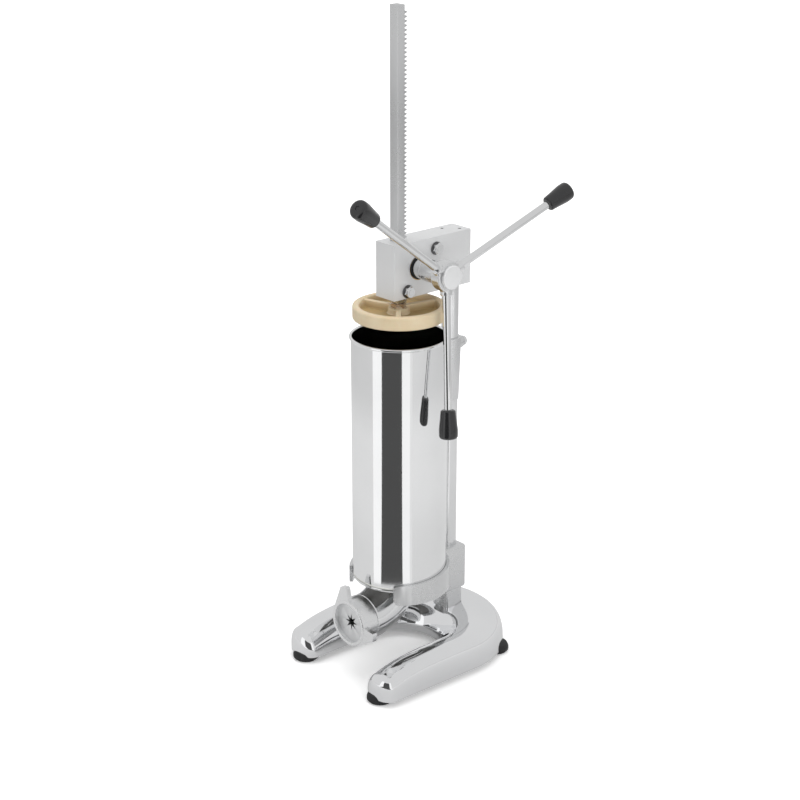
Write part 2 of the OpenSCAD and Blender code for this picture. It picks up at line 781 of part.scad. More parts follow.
module shaft_ring() {
  color([0.35, 0.35, 0.37]) at_shaft() difference() {
    rod_x(ring_x - ring_t + 0.1, ring_x - 0.1, journal_r + 2);
    rod_x(ring_x - ring_t - 1, ring_x + 1, journal_r - 0.75);
    span([ring_x - ring_t - 1, -1.5, 0], [ring_x + 1, 1.5, journal_r + 3]);
  }
}

// Involute gear profile: each flank is sampled from the base circle to the tip
gear_tip_r = pitch_r + tooth_module;
gear_root_r = pitch_r - 1.25 * tooth_module;
gear_base_r = pitch_r * cos(pressure_angle);
flank_steps = 5;
function involute_at(r) =
  let (a = acos(min(1, gear_base_r / r))) tan(a) * 180 / PI - a;
half_tooth = 90 / pinion_teeth - backlash / 4 / pitch_r * 180 / PI;
function flank(i) =
  let (r = mix(gear_base_r, gear_tip_r, i / flank_steps))
  [r, half_tooth + involute_at(pitch_r) - involute_at(r)];
function polar(r, a) = [r * cos(a), r * sin(a)];
function tooth_points(a) = concat(
  [polar(gear_root_r, a - flank(0)[1])],
  [for (i = [0:flank_steps]) polar(flank(i)[0], a - flank(i)[1])],
  [for (i = [flank_steps:-1:0]) polar(flank(i)[0], a + flank(i)[1])],
  [polar(gear_root_r, a + flank(0)[1])]);

// A tooth points straight at the rack when the lever is at rest
module pinion() {
  outline = [for (k = [0:pinion_teeth - 1]) each tooth_points(180 + k * 360 / pinion_teeth)];
  color([0.6, 0.6, 0.62]) at_shaft() difference() {
    multmatrix([[0, 0, 1, -pinion_w / 2], [1, 0, 0, 0], [0, 1, 0, 0], [0, 0, 0, 1]])
      linear_extrude(pinion_w) polygon(outline);
    rod_x(-pinion_w, pinion_w, journal_r + 0.02);
    span([-pinion_w, -key_w / 2, 0], [pinion_w, key_w / 2, journal_r + key_w / 2 + 0.1]);
  }
}

module shaft_spacer() {
  color([0.8, 0.81, 0.83]) at_shaft() difference() {
    rod_x(collar_x, sleeve_x - 0.1, sleeve_r - 0.6);
    rod_x(collar_x - 1, sleeve_x + 1, shaft_r + run_play);
  }
}

module lever_hub() {
  color([0.78, 0.79, 0.8]) difference() {
    union() {
      at_shaft() rod_x(sleeve_x, drum_x + e, sleeve_r);
      at_shaft() rod_x(drum_x, cap_x, drum_r);
      at_rods() cylinder(h = rod_boss_reach, r = rod_boss_r);
    }
    at_shaft() rod_x(sleeve_x - 1, cap_x + 1, shaft_r + 0.02);
    at_shaft() rod_x(cap_x, cap_x + 2 * drum_r, cap_r + 0.2);
    at_rods() translate([0, 0, shaft_r - 2]) cylinder(h = drum_r, r = rod_d / 2);
    at_shaft() translate([hub_x - drum_l, 0, -drum_r]) cylinder(h = 2 * drum_r, r = hub_pin_d / 2);
  }
}

module hub_pin() {
  color([0.4, 0.4, 0.42]) at_shaft() translate([hub_x - drum_l, 0, -sleeve_r + 0.5])
    cylinder(h = 2 * sleeve_r - 1, r = hub_pin_d / 2 - 0.02);
}

module hub_cap() {
  color([0.84, 0.85, 0.86]) at_shaft() rod_x(cap_x + 0.05, cap_x + cap_t, cap_r);
}

module lever_rods() {
  color([0.8, 0.81, 0.83]) at_rods() translate([0, 0, shaft_r + 1.3])
    cylinder(h = rod_reach - 12 - shaft_r - 1.3, r = rod_d / 2 - 0.02);
}

module lever_knobs() {
  low = rod_reach - knob_l;
  edge = [for (a = [0:15:90]) [knob_out_r - knob_round + knob_round * cos(a),
                              rod_reach - knob_round + knob_round * sin(a)]];
  color([0.07, 0.07, 0.07]) at_rods() difference() {
    rotate_extrude() polygon(concat([[0, low], [knob_in_r - 1, low], [knob_in_r, low + 1]],
                                    edge, [[0, rod_reach]]));
    translate([0, 0, low - 1]) cylinder(h = knob_l - 11, r = rod_d / 2);
  }
}

// ---- rack and piston --------------------------------------------------------

// The rack's gap meets the pinion's tooth at the height of the lever's axis
function rack_half(h) = pitch / 4 - backlash / 4 - h * tan(pressure_angle);
first_tooth = ceil((tooth_low - axis_z) / pitch);
last_tooth = floor((rack_top - axis_z) / pitch) - 1;
function rack_tooth(k) =
  let (z = axis_z + (k + 0.5) * pitch, y0 = pitch_y - rack_root, y1 = pitch_y + rack_tip)
  [[y0, z - rack_half(-rack_root)], [y1, z - rack_half(rack_tip)],
   [y1, z + rack_half(rack_tip)], [y0, z + rack_half(-rack_root)]];

module rack() {
  outline = concat([[-rack_back, rack_low], [pitch_y + rack_tip, rack_low],
                    [pitch_y + rack_tip, axis_z + first_tooth * pitch - pitch / 4],
                    [pitch_y - rack_root, axis_z + first_tooth * pitch - pitch / 8]],
                   [for (k = [first_tooth:last_tooth]) each rack_tooth(k)],
                   [[pitch_y - rack_root, rack_top], [-rack_back, rack_top]]);
  stud_low = piston_z + 1;
  color([0.72, 0.73, 0.74]) at_tank() {
    multmatrix([[0, 0, 1, -rack_w / 2], [1, 0, 0, 0], [0, 1, 0, 0], [0, 0, 0, 1]])
      linear_extrude(rack_w) polygon(outline);
    translate([0, rack_y, stud_low]) cylinder(h = rack_low - stud_low + e, r = stud_d / 2);
  }
}

module piston() {
  r = piston_r;
  in_r = r - piston_rim_w;
  top = piston_z + piston_h;
  floor_z = piston_z + piston_floor;
  color([0.92, 0.86, 0.7]) at_tank() difference() {
    union() {
      rotate_extrude() polygon([
        [0, piston_z], [r - 1.5, piston_z], [r, piston_z + 1.5], [r, top - 1.5],
        [r - 1.5, top], [in_r + 1, top], [in_r, top - 1], [in_r, floor_z], [0, floor_z]]);
      translate([0, rack_y, piston_z + 1])
        cylinder(h = boss_top - piston_z - 1, r1 = boss_d / 2 + 1, r2 = boss_d / 2);
      difference() {
        for (i = [0:rib_count - 1]) rotate([0, 0, rib_angle + i * 360 / rib_count])
          span([0, -rib_w / 2, piston_z + 1], [in_r + 1, rib_w / 2, top - 1.2]);
        translate([0, rack_y, boss_top]) cylinder(h = piston_h, r = boss_d / 2 - 0.4);
      }
    }
    translate([0, rack_y, piston_z - 1]) cylinder(h = piston_h * 2, r = stud_d / 2 + 0.1);
    translate([0, rack_y, piston_z - 1]) cylinder(h = recess_h + 1, r = stud_nut_af / sqrt(3) + 0.6);
  }
}

module piston_nuts() {
  low = piston_z + recess_h - piston_washer_t - stud_nut_t;
  color([0.45, 0.32, 0.24]) at_tank() for (z = [low, boss_top])
    translate([0, rack_y, z]) difference() {
      hex(stud_nut_af, stud_nut_t);
      translate([0, 0, -1]) cylinder(h = stud_nut_t + 2, r = stud_d / 2 + 0.02);
    }
}

module piston_washer() {
  color([0.7, 0.7, 0.72]) at_tank()
    translate([0, rack_y, piston_z + recess_h - piston_washer_t])
      ring(stud_d / 2 + 0.1, stud_nut_af / sqrt(3) + 0.4, piston_washer_t);
}

// ---- tank and outlet ---------------------------------------------------------

module tank_tube() {
  color([0.86, 0.87, 0.88]) at_tank() {
    translate([0, 0, tank_z]) ring(tank_in_r, tank_r, tank_h - bead_d / 2);
    translate([0, 0, tank_top - bead_d / 2]) rotate_extrude()
      translate([tank_in_r + bead_d / 2, 0]) circle(d = bead_d, $fn = 48);
  }
}

bend_r = nut_rear - nut_gap;                // the elbow bends right behind the ring nut

// A quarter of a bent round bar, from the outlet's axis up to the tank's axis
module bend(r) {
  translate([0, -bend_r, outlet_z + bend_r]) rotate([0, -90, 0]) rotate([0, 0, 90])
    rotate_extrude(angle = 90) translate([bend_r, 0]) circle(r = r);
}

// Plate with a funnel that closes the tank's lower end, and the elbow to the front
module outlet_casting() {
  bore_r = outlet_bore / 2;
  elbow_r = elbow_d / 2;
  spigot_z = tank_z - tank_gasket_t;
  funnel_top = tank_z + funnel_h;
  plate_r = tank_r - 0.2;
  color([0.78, 0.79, 0.8]) at_tank() difference() {
    union() {
      difference() {
        bend(elbow_r);
        translate([0, 0, flange_z + 1]) cylinder(h = 2 * tank_h, r = tank_d);
      }
      translate([0, 0, flange_z]) cylinder(h = flange_h, r = plate_r);
      translate([0, 0, spigot_z - e]) cylinder(h = funnel_top - spigot_z, r = spigot_r);
      rod_y(-outlet_reach, -bend_r + 1, outlet_r, 0, outlet_z);
    }
    rotate_extrude() polygon([
      [0, flange_z + 0.5], [bore_r + funnel_floor, flange_z + 0.5],
      [spigot_r - 2, funnel_top - 2], [spigot_r - 2, funnel_top + 1], [0, funnel_top + 1]]);
    bend(bore_r - bend_step);
    rod_y(-outlet_reach - 1, -bend_r + 3, bore_r, 0, outlet_z);
  }
}

module tank_gasket() {
  color([0.9, 0.9, 0.88]) at_tank() translate([0, 0, tank_z - tank_gasket_t])
    ring(spigot_r + 0.2, tank_r - 0.2, tank_gasket_t);
}

module outlet_gasket() {
  color([0.9, 0.9, 0.88]) at_tank() translate([0, -outlet_reach, outlet_z])
    rotate([90, 0, 0]) ring(outlet_bore / 2 + 1, outlet_r - 0.3, outlet_gasket_t);
}

module star_die() {
  star = [for (k = [0:2 * star_points - 1])
    polar(k % 2 == 0 ? star_r : star_valley_r, 90 + k * 180 / star_points)];
  color([0.83, 0.84, 0.85]) at_tank() difference() {
    rod_y(-die_front, -die_front + die_t, outlet_r, 0, outlet_z);
    translate([0, -die_front + die_t + 1, outlet_z]) rotate([90, 0, 0])
      linear_extrude(die_t + 2) polygon(star);
  }
}

// A lug along +X: one flank leaves the ring as a tangent, the other stands
// straight up from a rounded root
module lug() {
  half = lug_w / 2;
  ring_r = nut_r - 0.1;
  tangent = atan2(half, lug_reach) + acos(ring_r / norm([lug_reach, half]));
  fy = -half - lug_fillet;
  fx = sqrt(pow(ring_r + lug_fillet, 2) - fy * fy);
  root = atan2(fy, fx);
  corner = 2;
  polygon(concat(
    [polar(ring_r, tangent), [0, 0], polar(ring_r, root)],
    [for (t = [0.25:0.25:1])
      let (a = mix(root + 180, 90, t)) [fx + lug_fillet * cos(a), fy + lug_fillet * sin(a)]],
    [[lug_reach - corner, -half], [lug_reach - 0.3 * corner, -half + 0.3 * corner],
     [lug_reach, -half + corner], [lug_reach, half - corner],
     [lug_reach - 0.35 * corner, half - 0.2 * corner], [lug_reach - corner, half + 0.25 * corner]]));
}

module ring_nut() {
  color([0.8, 0.81, 0.82]) at_tank() difference() {
    union() {
      rod_y(-nut_front, -nut_rear, nut_r, 0, outlet_z);
      translate([0, -nut_front + lug_back + lug_t, outlet_z]) rotate([90, 0, 0]) linear_extrude(lug_t) {
        rotate([0, 0, upper_lug]) lug();
        rotate([0, 0, -lower_lug]) mirror([0, 1]) lug();
      }
    }
    rod_y(-die_front, -nut_rear + 1, nut_bore_r, 0, outlet_z);
    rod_y(-nut_front - 1, -nut_rear, outlet_r - nut_lip_w, 0, outlet_z);
  }
}

base();
rubber_feet();
foot_screws();
column_bolt();
column_washer();
column();
cradle();
cradle_set_screw();
tank_stay();
stay_bolt();
stay_washer();
head_block();
block_lock_screws();
side_bolts();
side_washers();
rack_shoe();
shaft_bushings();
shaft_seal();
pinion_shaft();
pinion();
pinion_key();
shaft_ring();
shaft_spacer();
lever_hub();
hub_pin();
hub_cap();
lever_rods();
lever_knobs();
rack();
piston();
piston_nuts();
piston_washer();
tank_tube();
outlet_casting();
tank_gasket();
outlet_gasket();
star_die();
ring_nut();
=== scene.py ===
from math import acos, asin, atan, atan2, cos, degrees, hypot, pi, radians, sin, sqrt, tan

import bmesh
import bpy
from mathutils import Matrix, Vector


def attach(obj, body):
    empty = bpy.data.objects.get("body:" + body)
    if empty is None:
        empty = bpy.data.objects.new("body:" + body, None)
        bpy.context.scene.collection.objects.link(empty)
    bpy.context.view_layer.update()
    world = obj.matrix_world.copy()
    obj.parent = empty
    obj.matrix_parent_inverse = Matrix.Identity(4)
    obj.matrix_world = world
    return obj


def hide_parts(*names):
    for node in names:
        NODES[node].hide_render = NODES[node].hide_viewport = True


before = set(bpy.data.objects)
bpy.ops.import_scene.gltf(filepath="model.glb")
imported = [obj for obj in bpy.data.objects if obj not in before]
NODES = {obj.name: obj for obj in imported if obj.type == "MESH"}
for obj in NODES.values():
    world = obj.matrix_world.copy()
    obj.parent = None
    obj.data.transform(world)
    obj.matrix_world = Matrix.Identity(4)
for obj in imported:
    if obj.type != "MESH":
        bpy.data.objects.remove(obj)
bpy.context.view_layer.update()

# ----------
# Sizes, in millimetres. Lengths along Y are counted from the tank's axis.

MM = 0.001
TANK_Y = -23.9
TANK_R, TANK_IN_R = 55.0, 53.5
TANK_Z, TANK_TOP, BEAD = 114.0, 405.0, 3.6
PLATE_R, PLATE_LOW, PLATE_TOP, SPIGOT_R, FUNNEL_R, FUNNEL_TOP = 54.8, 107.95, 112.25, 53.0, 51.0, 124.0
OUTLET_Z, OUTLET_R, OUTLET_BORE_R, OUTLET_REACH = 68.5, 25.0, 18.0, 69.0
ELBOW_R, ELBOW_BORE_R, BEND_R = 27.5, 17.5, 56.3
DIE_FRONT, DIE_R, STAR_TIP_R, STAR_ROOT_R = 74.6, 24.95, 10.6, 4.2
NUT_FRONT, NUT_REAR, NUT_R, NUT_BORE_R, NUT_MOUTH_R = 80.2, 57.0, 28.0, 25.3, 23.4
PISTON_Z, PISTON_R, PISTON_H = 425.0, 53.0, 16.0
RACK_Y, RACK_LOW, RACK_TOP, RACK_HALF, RACK_ROOT, RACK_PIN_R = -1.3625, 443.3, 772.0, 6.5, 2.2, 5.0
AXIS_Y, AXIS_Z = 16.0, 483.5
COLUMN_Y, COLUMN_R, COLUMN_BORE_R = 77.5, 10.0, 10.05
BLOCK_HALF, BLOCK_FRONT, BLOCK_REAR, BLOCK_Z, BLOCK_H = 15.5, -21.0, 94.0, 451.0, 63.5
SIDE_BOLTS = ((-1.5, 459.0), (41.0, 501.0))
HUB_X, CAP_X, SHAFT_R = 59.0, 66.5, 8.0
ROD_R, ROD_DISH, ROD_TURN, KNOB_START, KNOB_END = 4.48, 8.0, 24.5, 149.5, 182.5
SADDLE_R, CRADLE_OUT_R, CRADLE_Z, CRADLE_TOP, LEDGE_Z, LEDGE_R = 55.35, 59.15, 94.0, 124.5, 108.0, 50.35
STAY_LOW, STAY_TOP, STAY_BOLT_Z, STAY_BACK = 310.0, 386.0, 376.5, 16.5
BASE_Z, SKIRT, POST_W, POST_EDGE, POST_SEAT_Z = 10.0, 3.0, 27.0, 5.0, 44.0
FOOT_PITCH_X, FOOT_PITCH_Y, FOOT_MIDDLE_Y = 0.136, 0.184, 3.0


def linked(name, data):
    """A new object in the scene."""
    ob = bpy.data.objects.new(name, data)
    bpy.context.scene.collection.objects.link(ob)
    return ob


def at(x, y, z):
    """A point of the machine, in metres. y is counted from the tank's axis."""
    return Vector((x, y + TANK_Y, z)) * MM


# ----------
# Camera

camera_data = bpy.data.cameras.new("camera")
camera = linked("camera", camera_data)
bpy.context.scene.camera = camera
camera_data.sensor_width = 36.0
camera_data.lens = 80.97
camera_data.clip_start, camera_data.clip_end = 0.05, 50.0
camera.location = at(1448.3, -1272.3, 1036.5)
camera.rotation_euler = (radians(90 - 20.23), 0.0, radians(48.68))
bpy.context.scene.view_settings.view_transform = "Standard"


# ----------
# Shader maths

def plug(tree, socket, value):
    """Gives a socket a link or a value."""
    if isinstance(value, Value):
        value = value.socket
    if isinstance(value, bpy.types.NodeSocket):
        tree.links.new(value, socket)
    elif socket.type == "RGBA" and len(value) == 3:
        socket.default_value = (*value, 1.0)
    else:
        socket.default_value = value


def add_node(tree, kind, settings=None, sockets=None):
    """Adds a node: first its settings, then the values or links of its sockets."""
    node = tree.nodes.new(kind)
    for name, value in (settings or {}).items():
        setattr(node, name, value)
    for name, value in (sockets or {}).items():
        plug(tree, node.inputs[name], value)
    return node


class Value:
    """One socket of a material's nodes. Sums and products of values add Math nodes."""

    def __init__(self, finish, socket):
        self.finish, self.socket = finish, socket

    def maths(self, operation, a, b=0.0, clamp=False):
        node = self.finish.add("ShaderNodeMath", {"operation": operation, "use_clamp": clamp}, {0: a, 1: b})
        return Value(self.finish, node.outputs[0])

    def __add__(self, other):
        return self.maths("ADD", self, other)

    def __sub__(self, other):
        return self.maths("SUBTRACT", self, other)

    def __rsub__(self, other):
        return self.maths("SUBTRACT", other, self)

    def __mul__(self, other):
        return self.maths("MULTIPLY", self, other)

    def __pow__(self, other):
        return self.maths("POWER", self, other)

    __radd__ = __add__
    __rmul__ = __mul__

    def ramp(self, low, high):
        """0 below low, 1 above high, smooth between."""
        node = self.finish.add("ShaderNodeMapRange", {"interpolation_type": "SMOOTHSTEP"},
                               {"Value": self, "From Min": low, "From Max": high})
        return Value(self.finish, node.outputs["Result"])


class Finish:
    """A material with a Principled shader and the nodes that vary it."""

    def __init__(self, name, **constants):
        self.material = bpy.data.materials.new(name)
        self.material.use_nodes = True
        self.tree = self.material.node_tree
        self.tree.nodes.clear()
        self.shader = self.add("ShaderNodeBsdfPrincipled")
        output = self.add("ShaderNodeOutputMaterial")
        self.tree.links.new(self.shader.outputs[0], output.inputs[0])
        for socket, value in constants.items():
            self.shader.inputs[socket.replace("_", " ")].default_value = value

    def add(self, kind, settings=None, sockets=None):
        return add_node(self.tree, kind, settings, sockets)

    def drive(self, name, value):
        plug(self.tree, self.shader.inputs[name], value)

    def place(self, centre=(0, 0, 0), turn=(0, 0, 0), stretch=(1, 1, 1)):
        """The surface's position in metres, centred, turned and stretched."""
        position = self.add("ShaderNodeTexCoord").outputs["Object"]
        moved = self.add("ShaderNodeVectorMath", {"operation": "SUBTRACT"}, {0: position, 1: centre})
        mapping = self.add("ShaderNodeMapping", {}, {"Vector": moved.outputs[0], "Rotation": turn,
                                                     "Scale": stretch})
        return mapping.outputs[0]

    def noise(self, scale, place=None, detail=3.0, roughness=0.5):
        node = self.add("ShaderNodeTexNoise", {}, {"Vector": place or self.place(), "Scale": scale,
                                                   "Detail": detail, "Roughness": roughness})
        return Value(self, node.outputs["Fac"])

    def axes(self, place):
        """The three parts of a position."""
        node = self.add("ShaderNodeSeparateXYZ", {}, {0: place})
        return [Value(self, node.outputs[i]) for i in range(3)]

    def blend(self, factor, a, b):
        node = self.add("ShaderNodeMix", {"data_type": "RGBA"}, {0: factor, 6: a, 7: b})
        return node.outputs[2]

    def bump(self, height, depth, strength=1.0):
        node = self.add("ShaderNodeBump", {}, {"Height": height, "Distance": depth, "Strength": strength})
        self.drive("Normal", node.outputs[0])


def metal(name, colour, roughness, spread=0.03, grain=None, lumps=None, stains=0.06, centre=(0, 0, 0),
          turn=(0, 0, 0), metallic=1.0):
    """Bare metal: colour and roughness drift over it, grain scratches it, lumps make it wavy."""
    m = Finish(name, Metallic=metallic)
    place = m.place(centre, turn)
    drift = m.noise(22.0, place, 4.0)
    fine = m.noise(380.0, place, 2.0)
    m.drive("Roughness", (drift - 0.5) * (2 * spread) + (fine - 0.5) * spread + roughness)
    dark = [c * (1 - stains) for c in colour]
    m.drive("Base Color", m.blend((m.noise(9.0, place, 5.0, 0.6)).ramp(0.35, 0.75), colour, dark))
    height = None
    if grain:
        stretch, depth = grain
        height = m.noise(1.0, m.place(centre, turn, stretch), 3.0, 0.6) * depth
    if lumps:
        size, depth = lumps
        wave = m.noise(1.0 / size, place, 2.0) * depth
        height = wave if height is None else height + wave
    if height is not None:
        m.bump(height, 1.0)
    return m.material


def polished_steel():
    """The tank's tube: mirror-polished, with very fine lines round it and a few faint scratches."""
    m = Finish("polished_steel", Metallic=1.0)
    place = m.place(at(0, 0, 0))
    lines = m.noise(1.0, m.place(at(0, 0, 0), stretch=(3.0, 3.0, 2600.0)), 2.0)
    drift = m.noise(14.0, place, 4.0, 0.6)
    m.drive("Roughness", drift * 0.04 + lines * 0.015 + 0.035)
    m.drive("Base Color", m.blend(drift.ramp(0.3, 0.8), (0.90, 0.905, 0.91), (0.86, 0.865, 0.87)))
    scratch = m.noise(1.0, m.place(at(0, 0, 0), (0.3, 0.2, 0.0), (900.0, 900.0, 14.0)), 1.0)
    m.bump(lines * 0.0000012 + scratch.ramp(0.72, 0.8) * -0.000002, 1.0)
    return m.material


def shaded_tank_inside():
    """The tube's inner wall: unpolished, brushed round and dull. Its grey is partly the steel's own and partly
    painted shade, dark away from the light.
    """
    m = Finish("shaded_tank_inside", Metallic=0.5)
    place = m.place(at(0, 0, 0))
    lines = m.noise(1.0, m.place(at(0, 0, 0), stretch=(6.0, 6.0, 1500.0)), 3.0)
    drift = m.noise(18.0, place, 4.0)
    # Painted shade: the colour is kept far darker than the outside steel, for the hollow that the piston keeps
    # from the light.
    m.drive("Base Color", m.blend(drift, (0.36, 0.37, 0.355), (0.44, 0.445, 0.43)))
    m.drive("Roughness", lines * 0.2 + drift * 0.1 + 0.35)
    m.bump(lines * 0.00001, 1.0)
    return m.material


def plastic(name, colour, roughness, mottle=0.05, pebble=0.00002, scale=900.0, coat=0.0):
    m = Finish(name, Coat_Weight=coat, Coat_Roughness=0.12)
    place = m.place()
    cloud = m.noise(30.0, place, 4.0, 0.6)
    grit = m.noise(scale, place, 2.0)
    dark = [c * (1 - mottle) for c in colour]
    m.drive("Base Color", m.blend(cloud, colour, dark))
    m.drive("Roughness", (cloud - 0.5) * 0.12 + grit * 0.05 + roughness)
    m.bump(grit * pebble, 1.0)
    return m.material


def ivory_plastic():
    """The piston: moulded plastic, darker brown deep in the dish as painted shade, with faint turning marks."""
    m = Finish("ivory_plastic", Subsurface_Weight=0.08, Subsurface_Scale=0.004, Coat_Weight=0.08)
    place = m.place(at(0, 0, 0))
    cloud = m.noise(26.0, place, 5.0, 0.6)
    specks = m.noise(420.0, place, 1.0)
    turned = m.noise(1.0, m.place(at(0, 0, 0), stretch=(20.0, 20.0, 1800.0)), 2.0)
    colour = m.blend(cloud.ramp(0.3, 0.75), (0.69, 0.58, 0.40), (0.64, 0.51, 0.32))
    # Painted shade: deep in the dish, inside the rim and away from the boss, the colour is blended toward dark
    # brown.
    x, y, z = m.axes(place)
    deep = (PISTON_Z + PISTON_H - 1.0) * MM - z
    inner = 1 - ((x * x + y * y) ** 0.5).ramp(0.0440, 0.0462)
    boss = ((x * x + (y - RACK_Y * MM) * (y - RACK_Y * MM)) ** 0.5).ramp(0.0125, 0.0140)
    depth = deep.ramp(0.0, 0.010) * inner * boss
    colour = m.blend(depth * 0.9, colour, (0.42, 0.29, 0.12))
    colour = m.blend(specks.ramp(0.66, 0.8) * 0.35, colour, (0.55, 0.42, 0.25))
    m.drive("Base Color", colour)
    m.drive("Roughness", cloud * 0.14 + turned * 0.08 + 0.36)
    m.bump(cloud * 0.0002 + turned * 0.00001, 1.0)
    return m.material


def rubber(name):
    m = Finish(name, Specular_IOR_Level=0.35)
    place = m.place()
    dust = m.noise(60.0, place, 5.0, 0.65)
    grit = m.noise(1400.0, place, 2.0)
    m.drive("Base Color", m.blend(dust.ramp(0.45, 0.8), (0.016, 0.016, 0.017), (0.04, 0.04, 0.039)))
    m.drive("Roughness", dust * 0.25 + 0.45)
    m.bump(grit * 0.00004, 1.0)
    return m.material


def turned(name, colour, roughness, centre, turn=(0, 0, 0)):
    """Steel that was turned or drawn: fine lines round its own Z axis after the turn."""
    return metal(name, colour, roughness, 0.03, ((40.0, 40.0, 2400.0), 0.000006), None, 0.05, centre, turn)


LEVER = at(0, AXIS_Y, AXIS_Z)
ALONG_X, ALONG_Y = (0.0, pi / 2, 0.0), (pi / 2, 0.0, 0.0)
CHROME = metal("polished_chrome", (0.90, 0.905, 0.915), 0.055, 0.02, None, (0.03, 0.00022), 0.04)
MIRROR = polished_steel()
SHADED_INSIDE = shaded_tank_inside()
BLOCK = metal("milled_aluminium", (0.74, 0.745, 0.75), 0.36, 0.05, ((900.0, 14.0, 900.0), 0.00001), None, 0.05,
              metallic=0.4)
CAST = metal("satin_aluminium", (0.74, 0.745, 0.75), 0.28, 0.05, None, (0.012, 0.00001), 0.07)
HUB = metal("tumbled_aluminium", (0.82, 0.825, 0.83), 0.22, 0.12, None, (0.004, 0.00003), 0.12)
CAP = metal("turned_cap", (0.88, 0.885, 0.89), 0.24, 0.04, ((500.0, 20.0, 500.0), 0.000004), None, 0.05,
            metallic=0.6)
POLISHED_CAST = metal("polished_cast", (0.84, 0.845, 0.85), 0.12, 0.05, None, (0.009, 0.00004), 0.06)
BRIGHT = turned("bright_steel", (0.82, 0.825, 0.83), 0.13, at(0, COLUMN_Y, 0))
BRIGHT_X = turned("bright_steel_across", (0.82, 0.825, 0.83), 0.15, LEVER, ALONG_X)
ROD = metal("lever_rod_steel", (0.84, 0.845, 0.85), 0.10, 0.04, None, (0.02, 0.00002), 0.05)
ZINC = metal("zinc", (0.66, 0.67, 0.68), 0.28, 0.08, None, (0.003, 0.00002), 0.12)
DARK_STEEL = metal("dark_steel", (0.16, 0.16, 0.165), 0.38, 0.08, None, (0.002, 0.00002), 0.2)
GEAR = metal("gear_steel", (0.70, 0.705, 0.71), 0.28, 0.06, ((700.0, 700.0, 30.0), 0.000012), None, 0.08)
BROWN = metal("brown_steel", (0.74, 0.64, 0.58), 0.28, 0.12, None, (0.002, 0.00005), 0.45)
BRONZE = turned("bronze", (0.62, 0.42, 0.2), 0.3, LEVER, ALONG_X)
DIE = turned("die_steel", (0.80, 0.805, 0.81), 0.40, at(0, 0, OUTLET_Z), ALONG_Y)
NUT = metal("satin_nut", (0.86, 0.865, 0.87), 0.26, 0.05, None, (0.012, 0.00001), 0.06)
# Dark grey for the faces under the plate: painted shade under the tank, rough as well.
SHADED_UNDERSIDE = metal("rough_shaded_underside", (0.30, 0.295, 0.285), 0.5, 0.1, None, (0.003, 0.00006), 0.2)
KNOB = plastic("black_plastic", (0.013, 0.013, 0.014), 0.2, 0.2, 0.000015, 500.0, 0.4)
NYLON = plastic("white_nylon", (0.82, 0.82, 0.78), 0.45)
IVORY = ivory_plastic()
RUBBER = rubber("black_rubber")


# ----------
# Mesh helpers

def new_piece(name, mesh, body, slot, material, *nodes):
    """Adds a mesh as a piece that stands for the named nodes."""
    mesh.name = name
    piece = linked(name, mesh)
    if material is not None:
        mesh.materials.clear()
        for m in material if isinstance(material, (list, tuple)) else [material]:
            mesh.materials.append(m)
    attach(piece, body)
    if nodes:
        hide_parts(*nodes)
    return piece


def smooth(mesh, angle=32.0):
    mesh.shade_smooth()
    mesh.set_sharp_from_angle(angle=radians(angle))
    return mesh


def outward(bm):
    """Joins double vertices and turns the faces outward."""
    bmesh.ops.remove_doubles(bm, verts=bm.verts, dist=1e-7)
    bmesh.ops.recalc_face_normals(bm, faces=bm.faces)


def plain_mesh(bm, name):
    """The mesh of a bmesh, which is freed."""
    mesh = bpy.data.meshes.new(name)
    bm.to_mesh(mesh)
    bm.free()
    return mesh


def finish_mesh(bm, angle=32.0):
    outward(bm)
    return smooth(plain_mesh(bm, "mesh"), angle)


def rounded(points, radii, steps=4):
    """Rounds the corners of an open line of (r, h) points. radii gives one radius or one per point."""
    if not isinstance(radii, (list, tuple)):
        radii = [radii] * len(points)
    out = [Vector(points[0])]
    for i in range(1, len(points) - 1):
        p, a, b = Vector(points[i]), Vector(points[i - 1]), Vector(points[i + 1])
        u, v = (a - p), (b - p)
        lu, lv = u.length, v.length
        u, v = u / lu, v / lv
        angle = u.angle(v)
        if radii[i] <= 0 or angle > 3.0:
            out.append(p)
            continue
        reach = min(radii[i] / tan(angle / 2), lu * 0.49, lv * 0.49)
        r = reach * tan(angle / 2)
        centre = p + (u + v).normalized() * (r / sin(angle / 2))
        s, e = p + u * reach - centre, p + v * reach - centre
        turn = s.angle_signed(e)
        for k in range(steps + 1):
            t = -turn * k / steps
            out.append(centre + Matrix.Rotation(t, 2) @ s)
    out.append(Vector(points[-1]))
    return out


def facing(origin, direction):
    """Turns Z onto a direction and moves the origin."""
    return Matrix.Translation(origin) @ Vector(direction).to_track_quat("Z", "Y").to_matrix().to_4x4()


def skin(bm, rings):
    """Joins closed rings of vertices, in order."""
    n = len(rings[0])
    for low, high in zip(rings, rings[1:]):
        for k in range(n):
            bm.faces.new((low[k], low[(k + 1) % n], high[(k + 1) % n], high[k]))


def upright(x, y, z):
    """A place whose Z points up."""
    return Matrix.Translation(at(x, y, z))


def on_shaft(x):
    """A place on the lever shaft's axis, with Z to the right."""
    return facing(at(x, AXIS_Y, AXIS_Z), (1, 0, 0))


